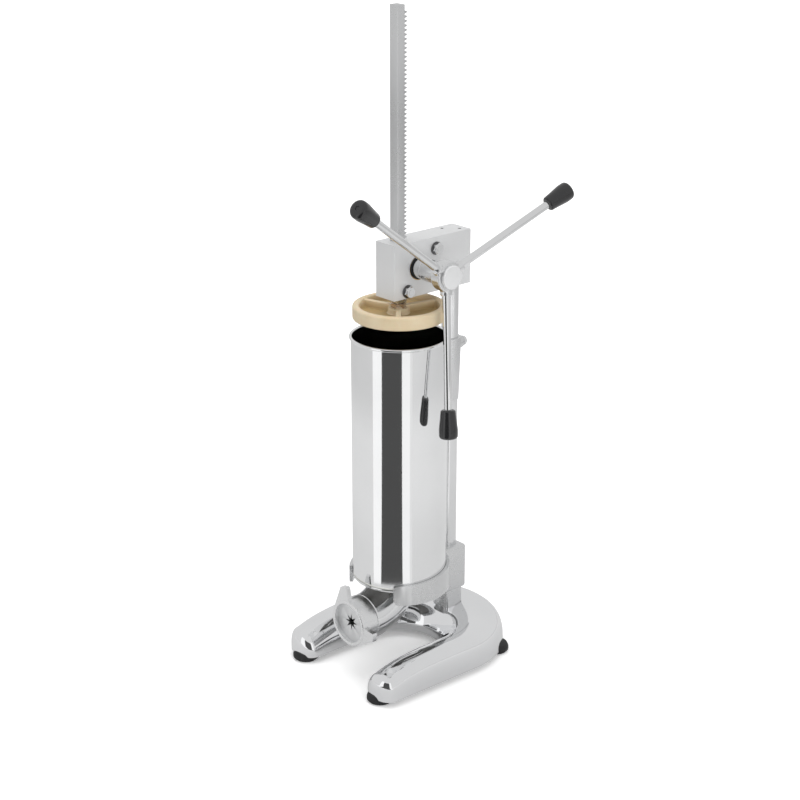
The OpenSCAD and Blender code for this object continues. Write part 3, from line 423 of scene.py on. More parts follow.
def lathe(profile, place, steps=96, bm=None):
    """Surface of revolution of (r, h) points in mm round Z, put in its place."""
    bm = bm or bmesh.new()
    rings = []
    for r, h in profile:
        if r < 1e-6:
            rings.append([bm.verts.new(place @ Vector((0, 0, h * MM)))])
        else:
            rings.append([bm.verts.new(place @ (Vector((r * cos(a), r * sin(a), h)) * MM))
                          for a in (2 * pi * k / steps for k in range(steps))])
    for low, high in zip(rings, rings[1:]):
        for k in range(steps):
            a, b = low[k % len(low)], low[(k + 1) % len(low)]
            c, d = high[(k + 1) % len(high)], high[k % len(high)]
            corners = [v for i, v in enumerate((a, b, c, d)) if v not in (a, b, c, d)[:i]]
            if len(corners) > 2:
                bm.faces.new(corners)
    return bm


def bar(r, low, high):
    """Profile of a plain round bar."""
    return [(0, low), (r, low), (r, high), (0, high)]


def closed_lathe(profile, place, steps=96, bm=None):
    """As lathe, for a ring whose profile goes once round."""
    return lathe(list(profile) + [profile[0]], place, steps, bm)


def box(low, high, bm=None):
    """A box between two corners, in mm."""
    bm = bm or bmesh.new()
    a, b = at(*low), at(*high)
    made = bmesh.ops.create_cube(bm, size=1.0)["verts"]
    for v in made:
        v.co = Vector((a[i] + (b[i] - a[i]) * (v.co[i] + 0.5) for i in range(3)))
    return bm


def prism(outline, place, low, high):
    """Extrudes a closed outline of (x, y) points in mm along Z."""
    bm = bmesh.new()
    lo, hi = ([bm.verts.new(place @ (Vector((x, y, z)) * MM)) for x, y in outline] for z in (low, high))
    skin(bm, (lo, hi))
    bm.faces.new(list(reversed(lo)))
    bm.faces.new(hi)
    return bm


def as_object(bm, name):
    outward(bm)
    return linked(name, plain_mesh(bm, name))


def turning(profile, place, steps):
    """A turned part, to join or to cut out."""
    return as_object(lathe(profile, place, steps), "turning")


def evaluated(ob):
    """A new mesh of the object with its modifiers applied."""
    bpy.context.view_layer.update()
    graph = bpy.context.evaluated_depsgraph_get()
    return bpy.data.meshes.new_from_object(ob.evaluated_get(graph))


def settled(ob, name, angle=32.0):
    """The object's mesh with its modifiers applied. The object is removed."""
    mesh = evaluated(ob)
    mesh.name = name
    bpy.data.objects.remove(ob)
    return smooth(mesh, angle)


def carve(ob, cutters, operation="DIFFERENCE"):
    """Cuts the cutters out of the object, or joins them to it. The cutters are removed."""
    for cutter in cutters:
        mod = ob.modifiers.new("cut", "BOOLEAN")
        mod.operation, mod.solver, mod.object = operation, "EXACT", cutter
    mesh = evaluated(ob)
    ob.modifiers.clear()
    ob.data = mesh
    for cutter in cutters:
        bpy.data.objects.remove(cutter)
    return ob


def soften(ob, width, segments=3, angle=40.0):
    """Rounds the edges."""
    mod = ob.modifiers.new("edge", "BEVEL")
    mod.width, mod.segments, mod.limit_method = width * MM, segments, "ANGLE"
    mod.angle_limit, mod.harden_normals = radians(angle), False
    return ob


def melt(ob, voxel, rounds=6):
    """Fuses a casting's parts and rounds its edges."""
    mod = ob.modifiers.new("fuse", "REMESH")
    mod.mode, mod.voxel_size = "VOXEL", voxel * MM
    mod = ob.modifiers.new("round", "SMOOTH")
    mod.factor, mod.iterations = 0.5, rounds
    return ob


def hexagon(across_flats, chamfer, height, place, bm=None):
    """A hex head or nut from z = 0 to height, with its corners turned down at the top."""
    bm = bm or bmesh.new()
    r = across_flats / sqrt(3)
    flat = across_flats / 2 - 0.25
    steps = 8
    rings = []
    for level in range(4):
        ring = []
        for k in range(6 * steps):
            a = pi / 3 * (k / steps)
            part = (k % steps) / steps
            hexr = (across_flats / 2) / cos((part - 0.5) * pi / 3)
            if level == 0:
                rr, z = min(hexr, r) * 0.985, 0.0
            elif level == 1:
                rr, z = hexr, height * 0.06
            elif level == 2:
                rr, z = hexr, height - chamfer * (hexr - flat) / (r - flat) - 0.02 * height
            else:
                rr, z = flat, height
            ring.append(bm.verts.new(place @ (Vector((rr * cos(a), rr * sin(a), z)) * MM)))
        rings.append(ring)
    skin(bm, rings)
    bm.faces.new(list(reversed(rings[0])))
    bm.faces.new(rings[-1])
    return bm


TANK_AXIS = upright(0, 0, 0)
RACK_AXIS = upright(0, RACK_Y, 0)
COLUMN_AXIS = upright(0, COLUMN_Y, 0)
OUTLET_AXIS = facing(at(0, 0, OUTLET_Z), (0, -1, 0))
SHAFT_AXIS = on_shaft(0)


# ----------
# Geometry Nodes

class Maker:
    """A Geometry Nodes tree with named inputs."""

    def __init__(self, name, **sizes):
        self.group = bpy.data.node_groups.new(name, "GeometryNodeTree")
        self.inputs = {}
        for label, value in sizes.items():
            kind = "NodeSocketInt" if isinstance(value, int) else "NodeSocketFloat"
            socket = self.group.interface.new_socket(label.replace("_", " "), in_out="INPUT", socket_type=kind)
            self.inputs[label] = (socket.identifier, value)
        self.group.interface.new_socket("Geometry", in_out="OUTPUT", socket_type="NodeSocketGeometry")
        self.entry = self.group.nodes.new("NodeGroupInput")
        self.exit = self.group.nodes.new("NodeGroupOutput")

    def size(self, label):
        return self.entry.outputs[label.replace("_", " ")]

    def add(self, kind, settings=None, sockets=None):
        return add_node(self.group, kind, settings, sockets)

    def maths(self, operation, a, b):
        return self.add("ShaderNodeMath", {"operation": operation}, {0: a, 1: b}).outputs[0]

    def make(self, geometry, material, name, angle=32.0):
        """Ends the tree, runs it and returns the plain mesh."""
        real = self.add("GeometryNodeRealizeInstances", {}, {0: geometry})
        coated = self.add("GeometryNodeSetMaterial", {}, {"Geometry": real.outputs[0], "Material": material})
        self.group.links.new(coated.outputs[0], self.exit.inputs[0])
        carrier = linked(name, bpy.data.meshes.new(name))
        mod = carrier.modifiers.new("make", "NODES")
        mod.node_group = self.group
        for identifier, value in self.inputs.values():
            mod[identifier] = value
        mesh = evaluated(carrier)
        carrier.modifiers.clear()
        bpy.data.objects.remove(carrier)
        bm = bmesh.new()
        bm.from_mesh(mesh)
        outward(bm)
        bm.to_mesh(mesh)
        bm.free()
        mesh.name = name
        return smooth(mesh, angle)


def moved(mesh, matrix):
    mesh.transform(matrix)
    return mesh


# ----------
# Base: a broad dome swept round the horseshoe

def mix(a, b, t):
    return a + (b - a) * t


def horseshoe_stations(toe_steps=14, leg_steps=22, bow_steps=64):
    """Inner and outer edge and crest height, from the right toe round the rear to the left toe."""
    toe_x, toe_r, toe_y, nose, toe_h = 70.75, 22.0, -87.0, 14.0, 26.0
    gap_r, out_r, gap_y, out_y, crest = 48.0, 95.5, 2.0, 40.0, 37.0
    half = []
    for i in range(toe_steps + 1):
        t = radians(9 + 81 * i / toe_steps)
        s, y = toe_r * sin(t), toe_y - nose * cos(t)
        half.append((toe_x - s, y, toe_x + s, y, toe_h * sin(t) ** 0.6))
    for i in range(1, leg_steps):
        t = i / leg_steps
        half.append((mix(toe_x - toe_r, gap_r, t), mix(toe_y, gap_y, t),
                     mix(toe_x + toe_r, out_r, t), mix(toe_y, out_y, t),
                     mix(toe_h, crest, 1 - (1 - t) ** 4)))
    bow = []
    for i in range(bow_steps + 1):
        f = pi * i / bow_steps
        bow.append((gap_r * cos(f), gap_y + gap_r * sin(f),
                    out_r * cos(f), out_y + out_r * sin(f), crest))
    return half + bow + [(-a, b, -c, d, h) for a, b, c, d, h in reversed(half)]


def horseshoe():
    """The base's casting, with the post that the cradle's stem stands on."""
    lip, steps = 2.2, 30
    bm = bmesh.new()
    rings = []
    for ix, iy, ox, oy, crest in horseshoe_stations():
        ring = []
        for i in range(steps + 1):
            u = 0.5 - 0.5 * cos(pi * i / steps)
            dome = (1 - abs(2 * u ** 1.4 - 1) ** 2.6) ** (1 / 2.6) if 0 < i < steps else 0.0
            ring.append(at(mix(ix, ox, u), mix(iy, oy, u), BASE_Z + lip + (crest - lip) * dome))
        ring = [at(ix, iy, BASE_Z - SKIRT)] + ring + [at(ox, oy, BASE_Z - SKIRT)]
        rings.append([bm.verts.new(p) for p in ring])
    n = len(rings[0])
    for a, b in zip(rings, rings[1:]):
        for k in range(n):
            bm.faces.new((a[k], b[k], b[(k + 1) % n], a[(k + 1) % n]))
    bm.faces.new(rings[0])
    bm.faces.new(list(reversed(rings[-1])))
    ob = as_object(bm, "base_body")
    pad = as_object(rounded_post(POST_W, BASE_Z + 0.5, POST_SEAT_Z), "pad")
    carve(ob, [pad], "UNION")
    seat = as_object(rounded_post(POST_W + 0.6, POST_SEAT_Z, 60.0), "seat")
    carve(ob, [seat])
    return settled(ob, "horseshoe_base", 38.0)


def rounded_post(width, low, high):
    """An upright square post with rounded edges round the column."""
    outline, reach = [], width / 2 - POST_EDGE
    for cx, cy, start in ((1, 1, 0), (-1, 1, 90), (-1, -1, 180), (1, -1, 270)):
        for k in range(7):
            a = radians(start + 90 * k / 6)
            outline.append((cx * reach + POST_EDGE * cos(a), COLUMN_Y + cy * reach + POST_EDGE * sin(a)))
    return prism(outline, TANK_AXIS, low, high)


new_piece("horseshoe_base", horseshoe(), "frame", "polished_chrome", CHROME, "base")


def four_feet(mesh, name, material):
    """Sets out four of a foot or of its screw."""
    tree = Maker(name, Pitch_X=FOOT_PITCH_X, Pitch_Y=FOOT_PITCH_Y)
    one = linked(name + "_one", mesh)
    grid = tree.add("GeometryNodeMeshGrid", {}, {"Size X": tree.size("Pitch_X"), "Size Y": tree.size("Pitch_Y"),
                                                 "Vertices X": 2, "Vertices Y": 2})
    points = tree.add("GeometryNodeMeshToPoints", {}, {"Mesh": grid.outputs["Mesh"]})
    shape = tree.add("GeometryNodeObjectInfo", {}, {"Object": one})
    copies = tree.add("GeometryNodeInstanceOnPoints", {},
                      {"Points": points.outputs[0], "Instance": shape.outputs["Geometry"]})
    made = tree.make(copies.outputs[0], material, name)
    bpy.data.objects.remove(one)
    return moved(made, upright(0, FOOT_MIDDLE_Y, 0))


foot = rounded([(0, 6.0), (5.4, 6.0), (5.4, 0.0), (13.0, 0.0), (15.6, 2.6), (15.6, 6.2), (13.8, 10.0),
                (0, 10.0)], [0, 0, 0.6, 0.8, 1.2, 1.0, 0.4, 0], 3)
new_piece("rubber_feet_set", four_feet(finish_mesh(lathe(foot, Matrix.Identity(4), 64)), "rubber_feet_set",
                                       RUBBER), "frame", "black_rubber", RUBBER, "rubber_feet")
screw = lathe(rounded([(0, 3.2), (2.0, 3.2), (2.2, 3.9), (2.6, 3.0), (4.9, 3.0), (5.0, 6.0), (2.5, 6.0),
                       (2.5, 21.0), (0, 21.0)], [0, 0.2, 0.3, 0.3, 0.6, 0.1, 0.1, 0.6, 0], 3),
              Matrix.Identity(4), 32)
new_piece("foot_screw_set", four_feet(finish_mesh(screw), "foot_screw_set", ZINC),
          "frame", "zinc", ZINC, "foot_screws")


# ----------
# Column, cradle and tank stay

new_piece("column_bar", finish_mesh(lathe(rounded(bar(COLUMN_R, 24.0, 513.8), 0.8), COLUMN_AXIS, 128)),
          "frame", "bright_steel", BRIGHT, "column")


def cradle():
    """A yoke with two arms, a ledge inside them, a block round the column and a stem to the base."""
    in_r, out_r, low, steps, half_turn = SADDLE_R, CRADLE_OUT_R, CRADLE_Z, 96, 138
    bm = bmesh.new()
    rings = []
    for k in range(steps + 1):
        a = radians(-half_turn + 2 * half_turn * k / steps)
        x, y = sin(a), cos(a)
        tilt = tan(atan(8.0 / 110.0))
        top = min(CRADLE_TOP, 116.5 + (out_r + y * 57.0) * tilt)
        end = min(1.0, (half_turn - abs(degrees(a))) / 6.0)
        curve = 1 - sqrt(max(0.0, 1 - (1 - end) ** 2))
        foot, crown = 6.0 * curve, 0.8 * curve
        profile = [(in_r, low + foot), (out_r, low + foot), (out_r, top - crown), (in_r, top - crown),
                   (in_r, LEDGE_Z), (LEDGE_R, LEDGE_Z), (LEDGE_R, LEDGE_Z - 4.5), (in_r, LEDGE_Z - 4.5)]
        rings.append([bm.verts.new(at(r * x, r * y, z)) for r, z in profile])
    skin(bm, rings)
    bm.faces.new(rings[0])
    bm.faces.new(list(reversed(rings[-1])))
    ob = as_object(bm, "arms")
    block = as_object(box((-18.0, 56.5, 68.0), (18.0, 92.0, CRADLE_TOP)), "block")
    soften(block, 4.0, 6)
    stem = as_object(rounded_post(POST_W, POST_SEAT_Z, 75.0), "stem")
    carve(ob, [block, stem], "UNION")
    bore = turning(bar(COLUMN_BORE_R, 40.0, 140.0), COLUMN_AXIS, 96)
    room = turning(bar(in_r, LEDGE_Z, 140.0), TANK_AXIS, 192)
    screw_hole = turning(bar(3.0, 0.0, 30.0), facing(at(0, COLUMN_Y, 104.0), (0, 1, 0)), 32)
    carve(ob, [bore, room, screw_hole])
    soften(ob, 0.7, 3, 50.0)
    return settled(ob, "cradle_yoke", 35.0)


new_piece("cradle_yoke", cradle(), "frame", "satin_aluminium", CAST, "cradle")


def tank_stay():
    """A tapered collar on the column with an arm to the tank and a boss for its bolt."""
    bm = lathe(rounded([(COLUMN_BORE_R, STAY_LOW), (COLUMN_BORE_R + 1.0, STAY_LOW), (13.45, STAY_TOP),
                        (COLUMN_BORE_R, STAY_TOP)], 0.5), COLUMN_AXIS, 96)
    lathe([(COLUMN_BORE_R, STAY_TOP), (COLUMN_BORE_R, STAY_LOW)], COLUMN_AXIS, 96, bm)
    outward(bm)
    ob = as_object(bm, "collar")
    arm = as_object(box((-9.0, 50.0, 360.0), (9.0, 72.0, STAY_TOP)), "arm")
    boss = turning(rounded(bar(7.5, 4.0, STAY_BACK), 0.6), facing(at(0, COLUMN_Y, STAY_BOLT_Z), (0, 1, 0)), 64)
    carve(ob, [arm, boss], "UNION")
    face = turning(bar(SADDLE_R, 350.0, 400.0), TANK_AXIS, 192)
    bore = turning(bar(COLUMN_BORE_R, 300.0, 400.0), COLUMN_AXIS, 96)
    carve(ob, [face, bore])
    soften(ob, 1.0, 3, 45.0)
    return settled(ob, "tank_stay_collar", 35.0)


new_piece("tank_stay_collar", tank_stay(), "frame", "satin_aluminium", CAST, "tank_stay")


def bolt_mesh(head_af, head, shank_r, shank, place):
    """A hex bolt: the head stands on z = 0, the shank goes down from it."""
    bm = hexagon(head_af, 0.9, head, place)
    lathe(rounded(bar(shank_r, -shank, 0.05), [0, 0.5, 0, 0]), place, 32, bm)
    return finish_mesh(bm, 30.0)


def washer_mesh(r0, r1, thick, places):
    bm = bmesh.new()
    for place in places:
        closed_lathe(rounded([(r0, thick / 2), (r0, 0), (r1, 0), (r1, thick), (r0, thick), (r0, thick / 2)],
                             0.25, 2)[:-1], place, 64, bm)
    return finish_mesh(bm)


stay_place = facing(at(0, COLUMN_Y + STAY_BACK + 1.6, STAY_BOLT_Z), (0, 1, 0))
new_piece("stay_hex_bolt", bolt_mesh(10.0, 5.4, 3.0, 10.8, stay_place), "frame", "bright_steel", BRIGHT,
          "stay_bolt")
new_piece("stay_flat_washer", washer_mesh(3.2, 6.8, 1.6,
                                          [facing(at(0, COLUMN_Y + STAY_BACK, STAY_BOLT_Z), (0, 1, 0))]),
          "frame", "zinc", ZINC, "stay_washer")


# ----------
# Head block and what is in it

def head_block():
    """The block on the column, with the rack's channel, the pinion's pocket and the shaft's seat."""
    ob = as_object(box((-BLOCK_HALF, BLOCK_FRONT, BLOCK_Z), (BLOCK_HALF, BLOCK_REAR, BLOCK_Z + BLOCK_H)),
                   "block")
    cuts = [
        as_object(box((-6.8, -8.3, BLOCK_Z - 5), (6.8, 5.575, BLOCK_Z + BLOCK_H + 5)), "channel"),
        turning(bar(14.3, -8.5, 30.0), SHAFT_AXIS, 128),
        turning(bar(9.4, -30.0, 0.0), SHAFT_AXIS, 96),
        turning(bar(COLUMN_BORE_R, 430.0, 513.9), COLUMN_AXIS, 96),
    ]
    for turn in (48.0, 228.0):
        a = radians(turn)
        centre = upright(COLUMN_R * cos(a), COLUMN_Y + COLUMN_R * sin(a), 0)
        cuts.append(turning(bar(2.15, 500.0, 520.0), centre, 32))
    carve(ob, cuts)
    soften(ob, 0.6, 3, 50.0)
    return settled(ob, "head_block_body", 32.0)


new_piece("head_block_body", head_block(), "frame", "satin_aluminium", BLOCK, "head_block")

bm = bmesh.new()
for y, z in SIDE_BOLTS:
    place = facing(at(BLOCK_HALF + 1.5, y, z), (1, 0, 0)) @ Matrix.Rotation(radians(12), 4, "Z")
    hexagon(12.0, 1.0, 4.8, place, bm)
    lathe(rounded([(0, 4.0), (3.2, 4.8), (3.4, 5.1), (0, 5.1)], [0, 0, 0.2, 0], 2), place, 24, bm)
    lathe(bar(4.0, -5.0, 0.05), place, 32, bm)
new_piece("side_hex_bolts", finish_mesh(bm, 30.0), "frame", "bright_steel", ROD, "side_bolts")
new_piece("side_flat_washers", washer_mesh(4.2, 7.5, 1.5,
                                           [facing(at(BLOCK_HALF, y, z), (1, 0, 0)) for y, z in SIDE_BOLTS]),
          "frame", "zinc", DARK_STEEL, "side_washers")
seal = rounded([(8.1, 0.8), (8.1, 0.0), (13.4, 0.0), (13.4, 1.5), (11.0, 1.2), (8.1, 1.5), (8.1, 0.8)], 0.3,
               3)[:-1]
new_piece("shaft_seal_ring", finish_mesh(closed_lathe(seal, on_shaft(BLOCK_HALF), 96)),
          "frame", "black_rubber", RUBBER, "shaft_seal")


# ----------
# Lever

shaft = rounded([(0, -18.2), (6.0, -18.2), (6.0, 7.2), (SHAFT_R, 7.2), (SHAFT_R, CAP_X), (0, CAP_X)],
                [0, 0.6, 0.1, 0.3, 0.5, 0])
new_piece("pinion_shaft_bar", finish_mesh(lathe(shaft, SHAFT_AXIS, 96)), "lever", "bright_steel", BRIGHT_X,
          "pinion_shaft")
spacer = rounded([(8.05, 20.0), (8.05, 17.2), (11.9, 17.2), (11.9, 28.4), (8.05, 28.4), (8.05, 20.0)], 0.6)[:-1]
new_piece("shaft_spacer_sleeve", finish_mesh(closed_lathe(spacer, SHAFT_AXIS, 96)), "lever", "bright_steel",
          BRIGHT_X, "shaft_spacer")
cap = rounded(bar(13.4, 0.05, 4.0), 0.9)
new_piece("hub_end_cap", finish_mesh(lathe(cap, on_shaft(CAP_X), 96)), "lever", "bright_steel", CAP, "hub_cap")


def rod_frames():
    """Where each rod starts, with Z along the rod."""
    dish = radians(ROD_DISH)
    for k in range(3):
        a = radians(ROD_TURN + 120 * k)
        yield facing(at(HUB_X, AXIS_Y, AXIS_Z), (sin(dish), cos(dish) * cos(a), cos(dish) * sin(a)))


def lever_hub():
    """A sleeve and a drum with three bosses for the rods, cast in one."""
    ob = turning(bar(12.5, 28.5, 52.0), SHAFT_AXIS, 96)
    parts = [turning(rounded([(0, 51.0), (17.5, 51.5), (17.5, CAP_X), (0, CAP_X)], [0, 3.0, 1.2, 0]),
                     SHAFT_AXIS, 96)]
    for place in rod_frames():
        parts.append(turning(rounded(bar(6.8, 4.0, 22.0), 0.8), place, 48))
    carve(ob, parts, "UNION")
    recess = turning(bar(13.7, CAP_X, CAP_X + 20), SHAFT_AXIS, 96)
    bore = turning(bar(8.02, 20.0, 80.0), SHAFT_AXIS, 96)
    melt(ob, 0.5, 14)
    ob = linked("hub", settled(ob, "hub", 60.0))
    carve(ob, [recess, bore])
    return settled(ob, "lever_hub_casting", 50.0)


new_piece("lever_hub_casting", lever_hub(), "lever", "satin_aluminium", HUB, "lever_hub")

bm = bmesh.new()
for place in rod_frames():
    lathe(rounded(bar(ROD_R, 9.3, 170.5), 0.5), place, 48, bm)
new_piece("lever_rod_set", finish_mesh(bm), "lever", "bright_steel", ROD, "lever_rods")

bm = bmesh.new()
for place in rod_frames():
    knob = rounded([(0, KNOB_START), (6.6, KNOB_START), (8.4, KNOB_START + 1.1), (9.3, 160.0), (10.75, 172.0),
                    (10.6, KNOB_END), (2.6, KNOB_END), (2.2, KNOB_END - 1.1), (0, KNOB_END - 1.1)],
                   [0, 0.8, 1.6, 20.0, 12.0, 4.2, 0.5, 0.5, 0], 5)
    lathe(knob, place, 64, bm)
new_piece("lever_knob_set", finish_mesh(bm, 50.0), "lever", "black_plastic", KNOB, "lever_knobs")


# ----------
# Rack and piston

def rack():
    """A square bar with one tooth set out again and again up its rear face."""
    pitch, foot_w, tip_w, depth = 4.7124, 1.66, 0.66, 3.075
    tree = Maker("rack_teeth", Teeth=67)
    bm = bmesh.new()
    profile = [(0.0, -foot_w), (0.25, -foot_w + 0.06), (depth - 0.2, -tip_w), (depth, -tip_w + 0.2),
               (depth, tip_w - 0.2), (depth - 0.2, tip_w), (0.25, foot_w - 0.06), (0.0, foot_w)]
    half = RACK_HALF * MM - 0.00018
    lo, hi = ([bm.verts.new((x, y * MM, z * MM)) for y, z in profile] for x in (-half, half))
    skin(bm, (lo, hi))
    bm.faces.new(list(reversed(lo)))
    bm.faces.new(hi)
    tooth = as_object(bm, "tooth")
    line = tree.add("GeometryNodeMeshLine", {}, {"Count": tree.size("Teeth"), "Offset": (0, 0, pitch * MM)})
    shape = tree.add("GeometryNodeObjectInfo", {}, {"Object": tooth})
    copies = tree.add("GeometryNodeInstanceOnPoints", {},
                      {"Points": line.outputs[0], "Instance": shape.outputs["Geometry"]})
    mesh = tree.make(copies.outputs[0], GEAR, "teeth", 25.0)
    bpy.data.objects.remove(tooth)
    moved(mesh, upright(0, RACK_ROOT, AXIS_Z - 30.630334))
    shank = as_object(box((-RACK_HALF, -8.0, RACK_LOW), (RACK_HALF, RACK_ROOT + 0.02, RACK_TOP)), "bar")
    soften(shank, 0.45, 2)
    bm = bmesh.new()
    bm.from_mesh(settled(shank, "bar"))
    bm.from_mesh(mesh)
    box((-6.3, 2.0, RACK_LOW), (6.3, 5.2, 452.2), bm)
    lathe(rounded(bar(RACK_PIN_R, 426.0, 443.4), [0, 0.8, 0, 0]), RACK_AXIS, 48, bm)
    return finish_mesh(bm, 25.0)


new_piece("toothed_rack", rack(), "press", "gear_steel", GEAR, "rack")


def piston():
    """A deep dish with a boss round the rack's end and three ribs from it to the rim."""
    r, low, top = PISTON_R, PISTON_Z, PISTON_Z + PISTON_H
    dish = rounded([(0, low), (r, low), (r, top), (r - 7.6, top), (r - 9.4, low + 6.0), (0, low + 6.0)],
                   [0, 1.8, 2.6, 2.4, 3.0, 0], 6)
    ob = turning(dish, TANK_AXIS, 192)
    parts = [turning([(0, low + 3.0), (12.6, low + 3.0), (11.0, top - 3.5), (0, top - 3.5)], RACK_AXIS, 96)]
    for k in range(3):
        turn = TANK_AXIS @ Matrix.Rotation(radians(77 + 120 * k), 4, "Z")
        parts.append(as_object(prism([(6.0, -3.0), (46.0, -3.0), (46.0, 3.0), (6.0, 3.0)], turn, low + 3.0,
                                     top - 1.4), "rib"))
    carve(ob, parts, "UNION")
    melt(ob, 0.6, 8)
    ob = linked("dish", settled(ob, "dish", 60.0))
    hole = turning(bar(RACK_PIN_R + 0.1, 400.0, 460.0), RACK_AXIS, 48)
    recess = turning(bar(9.3, 400.0, low + 8.0), RACK_AXIS, 64)
    carve(ob, [hole, recess])
    return settled(ob, "piston_dish", 40.0)


new_piece("piston_dish", piston(), "press", "ivory_plastic", IVORY, "piston")

bm = bmesh.new()
for z in (427.4, 437.5):
    hexagon(15.0, 1.0, 5.5, upright(0, RACK_Y, z), bm)
new_piece("piston_hex_nuts", finish_mesh(bm, 30.0), "press", "brown_steel", BROWN, "piston_nuts")


# ----------
# Tank: a profile carried round a circle

def tube_profile():
    """Half section of the tube, once round: up the outside, over the bead, down the inside."""
    centre_r, centre_z, r = TANK_IN_R + BEAD / 2, TANK_TOP - BEAD / 2, BEAD / 2
    out = [(TANK_R, TANK_Z), (TANK_R, TANK_Z + 0.01), (TANK_R, centre_z - 2.2)]
    start = degrees(asin(-0.92))
    for k in range(13):
        a = radians(start + (180 - start) * k / 12)
        out.append((centre_r + r * cos(a), centre_z + r * sin(a)))
    out += [(TANK_IN_R, centre_z - 1.0), (TANK_IN_R, TANK_Z)]
    return out


def lathed_tank():
    """The tank's tube, polished outside and over the bead, plain inside with painted shade."""
    mesh = finish_mesh(closed_lathe(tube_profile(), TANK_AXIS, 256), 40.0)
    mesh.materials.append(MIRROR)
    mesh.materials.append(SHADED_INSIDE)
    axis = at(0, 0, 0)
    for face in mesh.polygons:
        c = face.center
        # The inner faces get the inside's grey, which is partly painted shade.
        inner = hypot(c.x - axis.x, c.y - axis.y) < (TANK_IN_R + 0.2) * MM and c.z < (TANK_TOP - 2.5) * MM
        face.material_index = 1 if inner else 0
    return mesh


new_piece("tank_shell", lathed_tank(), "tank", "polished_steel", [MIRROR, SHADED_INSIDE], "tank_tube")


def bent_bar(r, high=88.0, steps=40):
    """A round bar that bends up from the outlet's axis to the tank's axis."""
    bm = bmesh.new()
    rings = []
    for i in range(steps + 1):
        f = radians(high * i / steps)
        mid = at(0, -BEND_R + BEND_R * sin(f), OUTLET_Z + BEND_R - BEND_R * cos(f))
        up = Vector((0, -sin(f), cos(f)))
        rings.append([bm.verts.new(mid + (Vector((1, 0, 0)) * cos(a) + up * sin(a)) * r * MM)
                      for a in (2 * pi * k / 72 for k in range(72))])
    skin(bm, rings)
    bm.faces.new(rings[0])
    bm.faces.new(list(reversed(rings[-1])))
    return bm


def outlet():
    """Plate under the tank and the elbow to the front, in one casting."""
    ob = as_object(bent_bar(ELBOW_R), "elbow")
    above = turning(bar(90.0, 110.5, 160.0), TANK_AXIS, 96)
    carve(ob, [above])
    plate = lathe(rounded(bar(PLATE_R, PLATE_LOW, PLATE_TOP), 0.6, 4), TANK_AXIS, 160)
    neck = lathe([(0, 104.0), (29.0, 104.0), (33.0, 108.5), (0, 108.5)], upright(0, -3.0, 0), 96)
    pipe = lathe([(0, BEND_R - 2), (OUTLET_R - 0.2, BEND_R - 2), (OUTLET_R - 1.2, BEND_R + 0.4),
                  (OUTLET_R - 1.2, OUTLET_REACH), (0, OUTLET_REACH)], OUTLET_AXIS, 96)
    carve(ob, [as_object(plate, "plate"), as_object(neck, "neck"), as_object(pipe, "pipe")], "UNION")
    melt(ob, 0.75, 9)
    ob = linked("outlet", settled(ob, "outlet", 60.0))
    spigot = turning(bar(SPIGOT_R, 111.0, FUNNEL_TOP), TANK_AXIS, 160)
    carve(ob, [spigot], "UNION")
    funnel = turning([(0, 108.5), (24.0, 108.5), (FUNNEL_R, FUNNEL_TOP - 2.0), (FUNNEL_R, 130.0), (0, 130.0)],
                     TANK_AXIS, 128)
    bore = turning(bar(OUTLET_BORE_R, BEND_R - 3, 90.0), OUTLET_AXIS, 96)
    carve(ob, [funnel, as_object(bent_bar(ELBOW_BORE_R), "bend"), bore])
    return settled(ob, "outlet_elbow", 45.0)


def elbow_finishes(mesh):
    """Polished outside; rough and dark under the plate, which is painted shade; grey in the bore, partly
    painted shade.
    """
    for m in (POLISHED_CAST, SHADED_UNDERSIDE, SHADED_INSIDE):
        mesh.materials.append(m)
    axis = at(0, 0, OUTLET_Z)
    bend = at(0, -BEND_R, OUTLET_Z + BEND_R)
    for face in mesh.polygons:
        c, n = face.center, face.normal
        if c.y < bend.y:
            off = hypot(c.x, c.z - axis.z)
        else:
            off = hypot(c.x, hypot(c.y - bend.y, c.z - bend.z) - BEND_R * MM)
        # The bore and the faces that look up above the plate get the inside's grey, partly painted shade; faces
        # that look down under the plate get its painted shade.
        if off < (OUTLET_BORE_R + 0.3) * MM and c.z < 0.1085 or c.z > 0.1083 and n.z > 0.2:
            face.material_index = 2
        elif c.z > 0.1062 and n.z < -0.75:
            face.material_index = 1
        else:
            face.material_index = 0
    return mesh


new_piece("outlet_elbow", elbow_finishes(outlet()), "tank", "satin_aluminium", None, "outlet_casting")


def pipe_thread():
    """The thread on the outlet pipe: a ridge swept along a helix."""
    tree = Maker("pipe_thread", Turns=2.9, Thread_Pitch=0.004, Radius=0.0238)
    height = tree.maths("MULTIPLY", tree.size("Turns"), tree.size("Thread_Pitch"))
    helix = tree.add("GeometryNodeCurveSpiral", {}, {"Resolution": 110, "Rotations": tree.size("Turns"),
                                                     "Start Radius": tree.size("Radius"),
                                                     "End Radius": tree.size("Radius"), "Height": height})
    ridge = tree.add("GeometryNodeCurvePrimitiveCircle", {}, {"Resolution": 6, "Radius": 0.00115})
    swept = tree.add("GeometryNodeCurveToMesh", {}, {0: helix.outputs[0], "Profile Curve": ridge.outputs[0]})
    tree.group.links.new(ridge.outputs[0], swept.inputs["Profile Curve"])
    fill = [s for s in swept.inputs if s.name == "Fill Caps"][0]
    fill.default_value = True
    mesh = tree.make(swept.outputs[0], POLISHED_CAST, "outlet_thread", 60.0)
    return moved(mesh, facing(at(0, -57.0, OUTLET_Z), (0, -1, 0)))


new_piece("outlet_thread", pipe_thread(), "tank", "satin_aluminium", POLISHED_CAST)


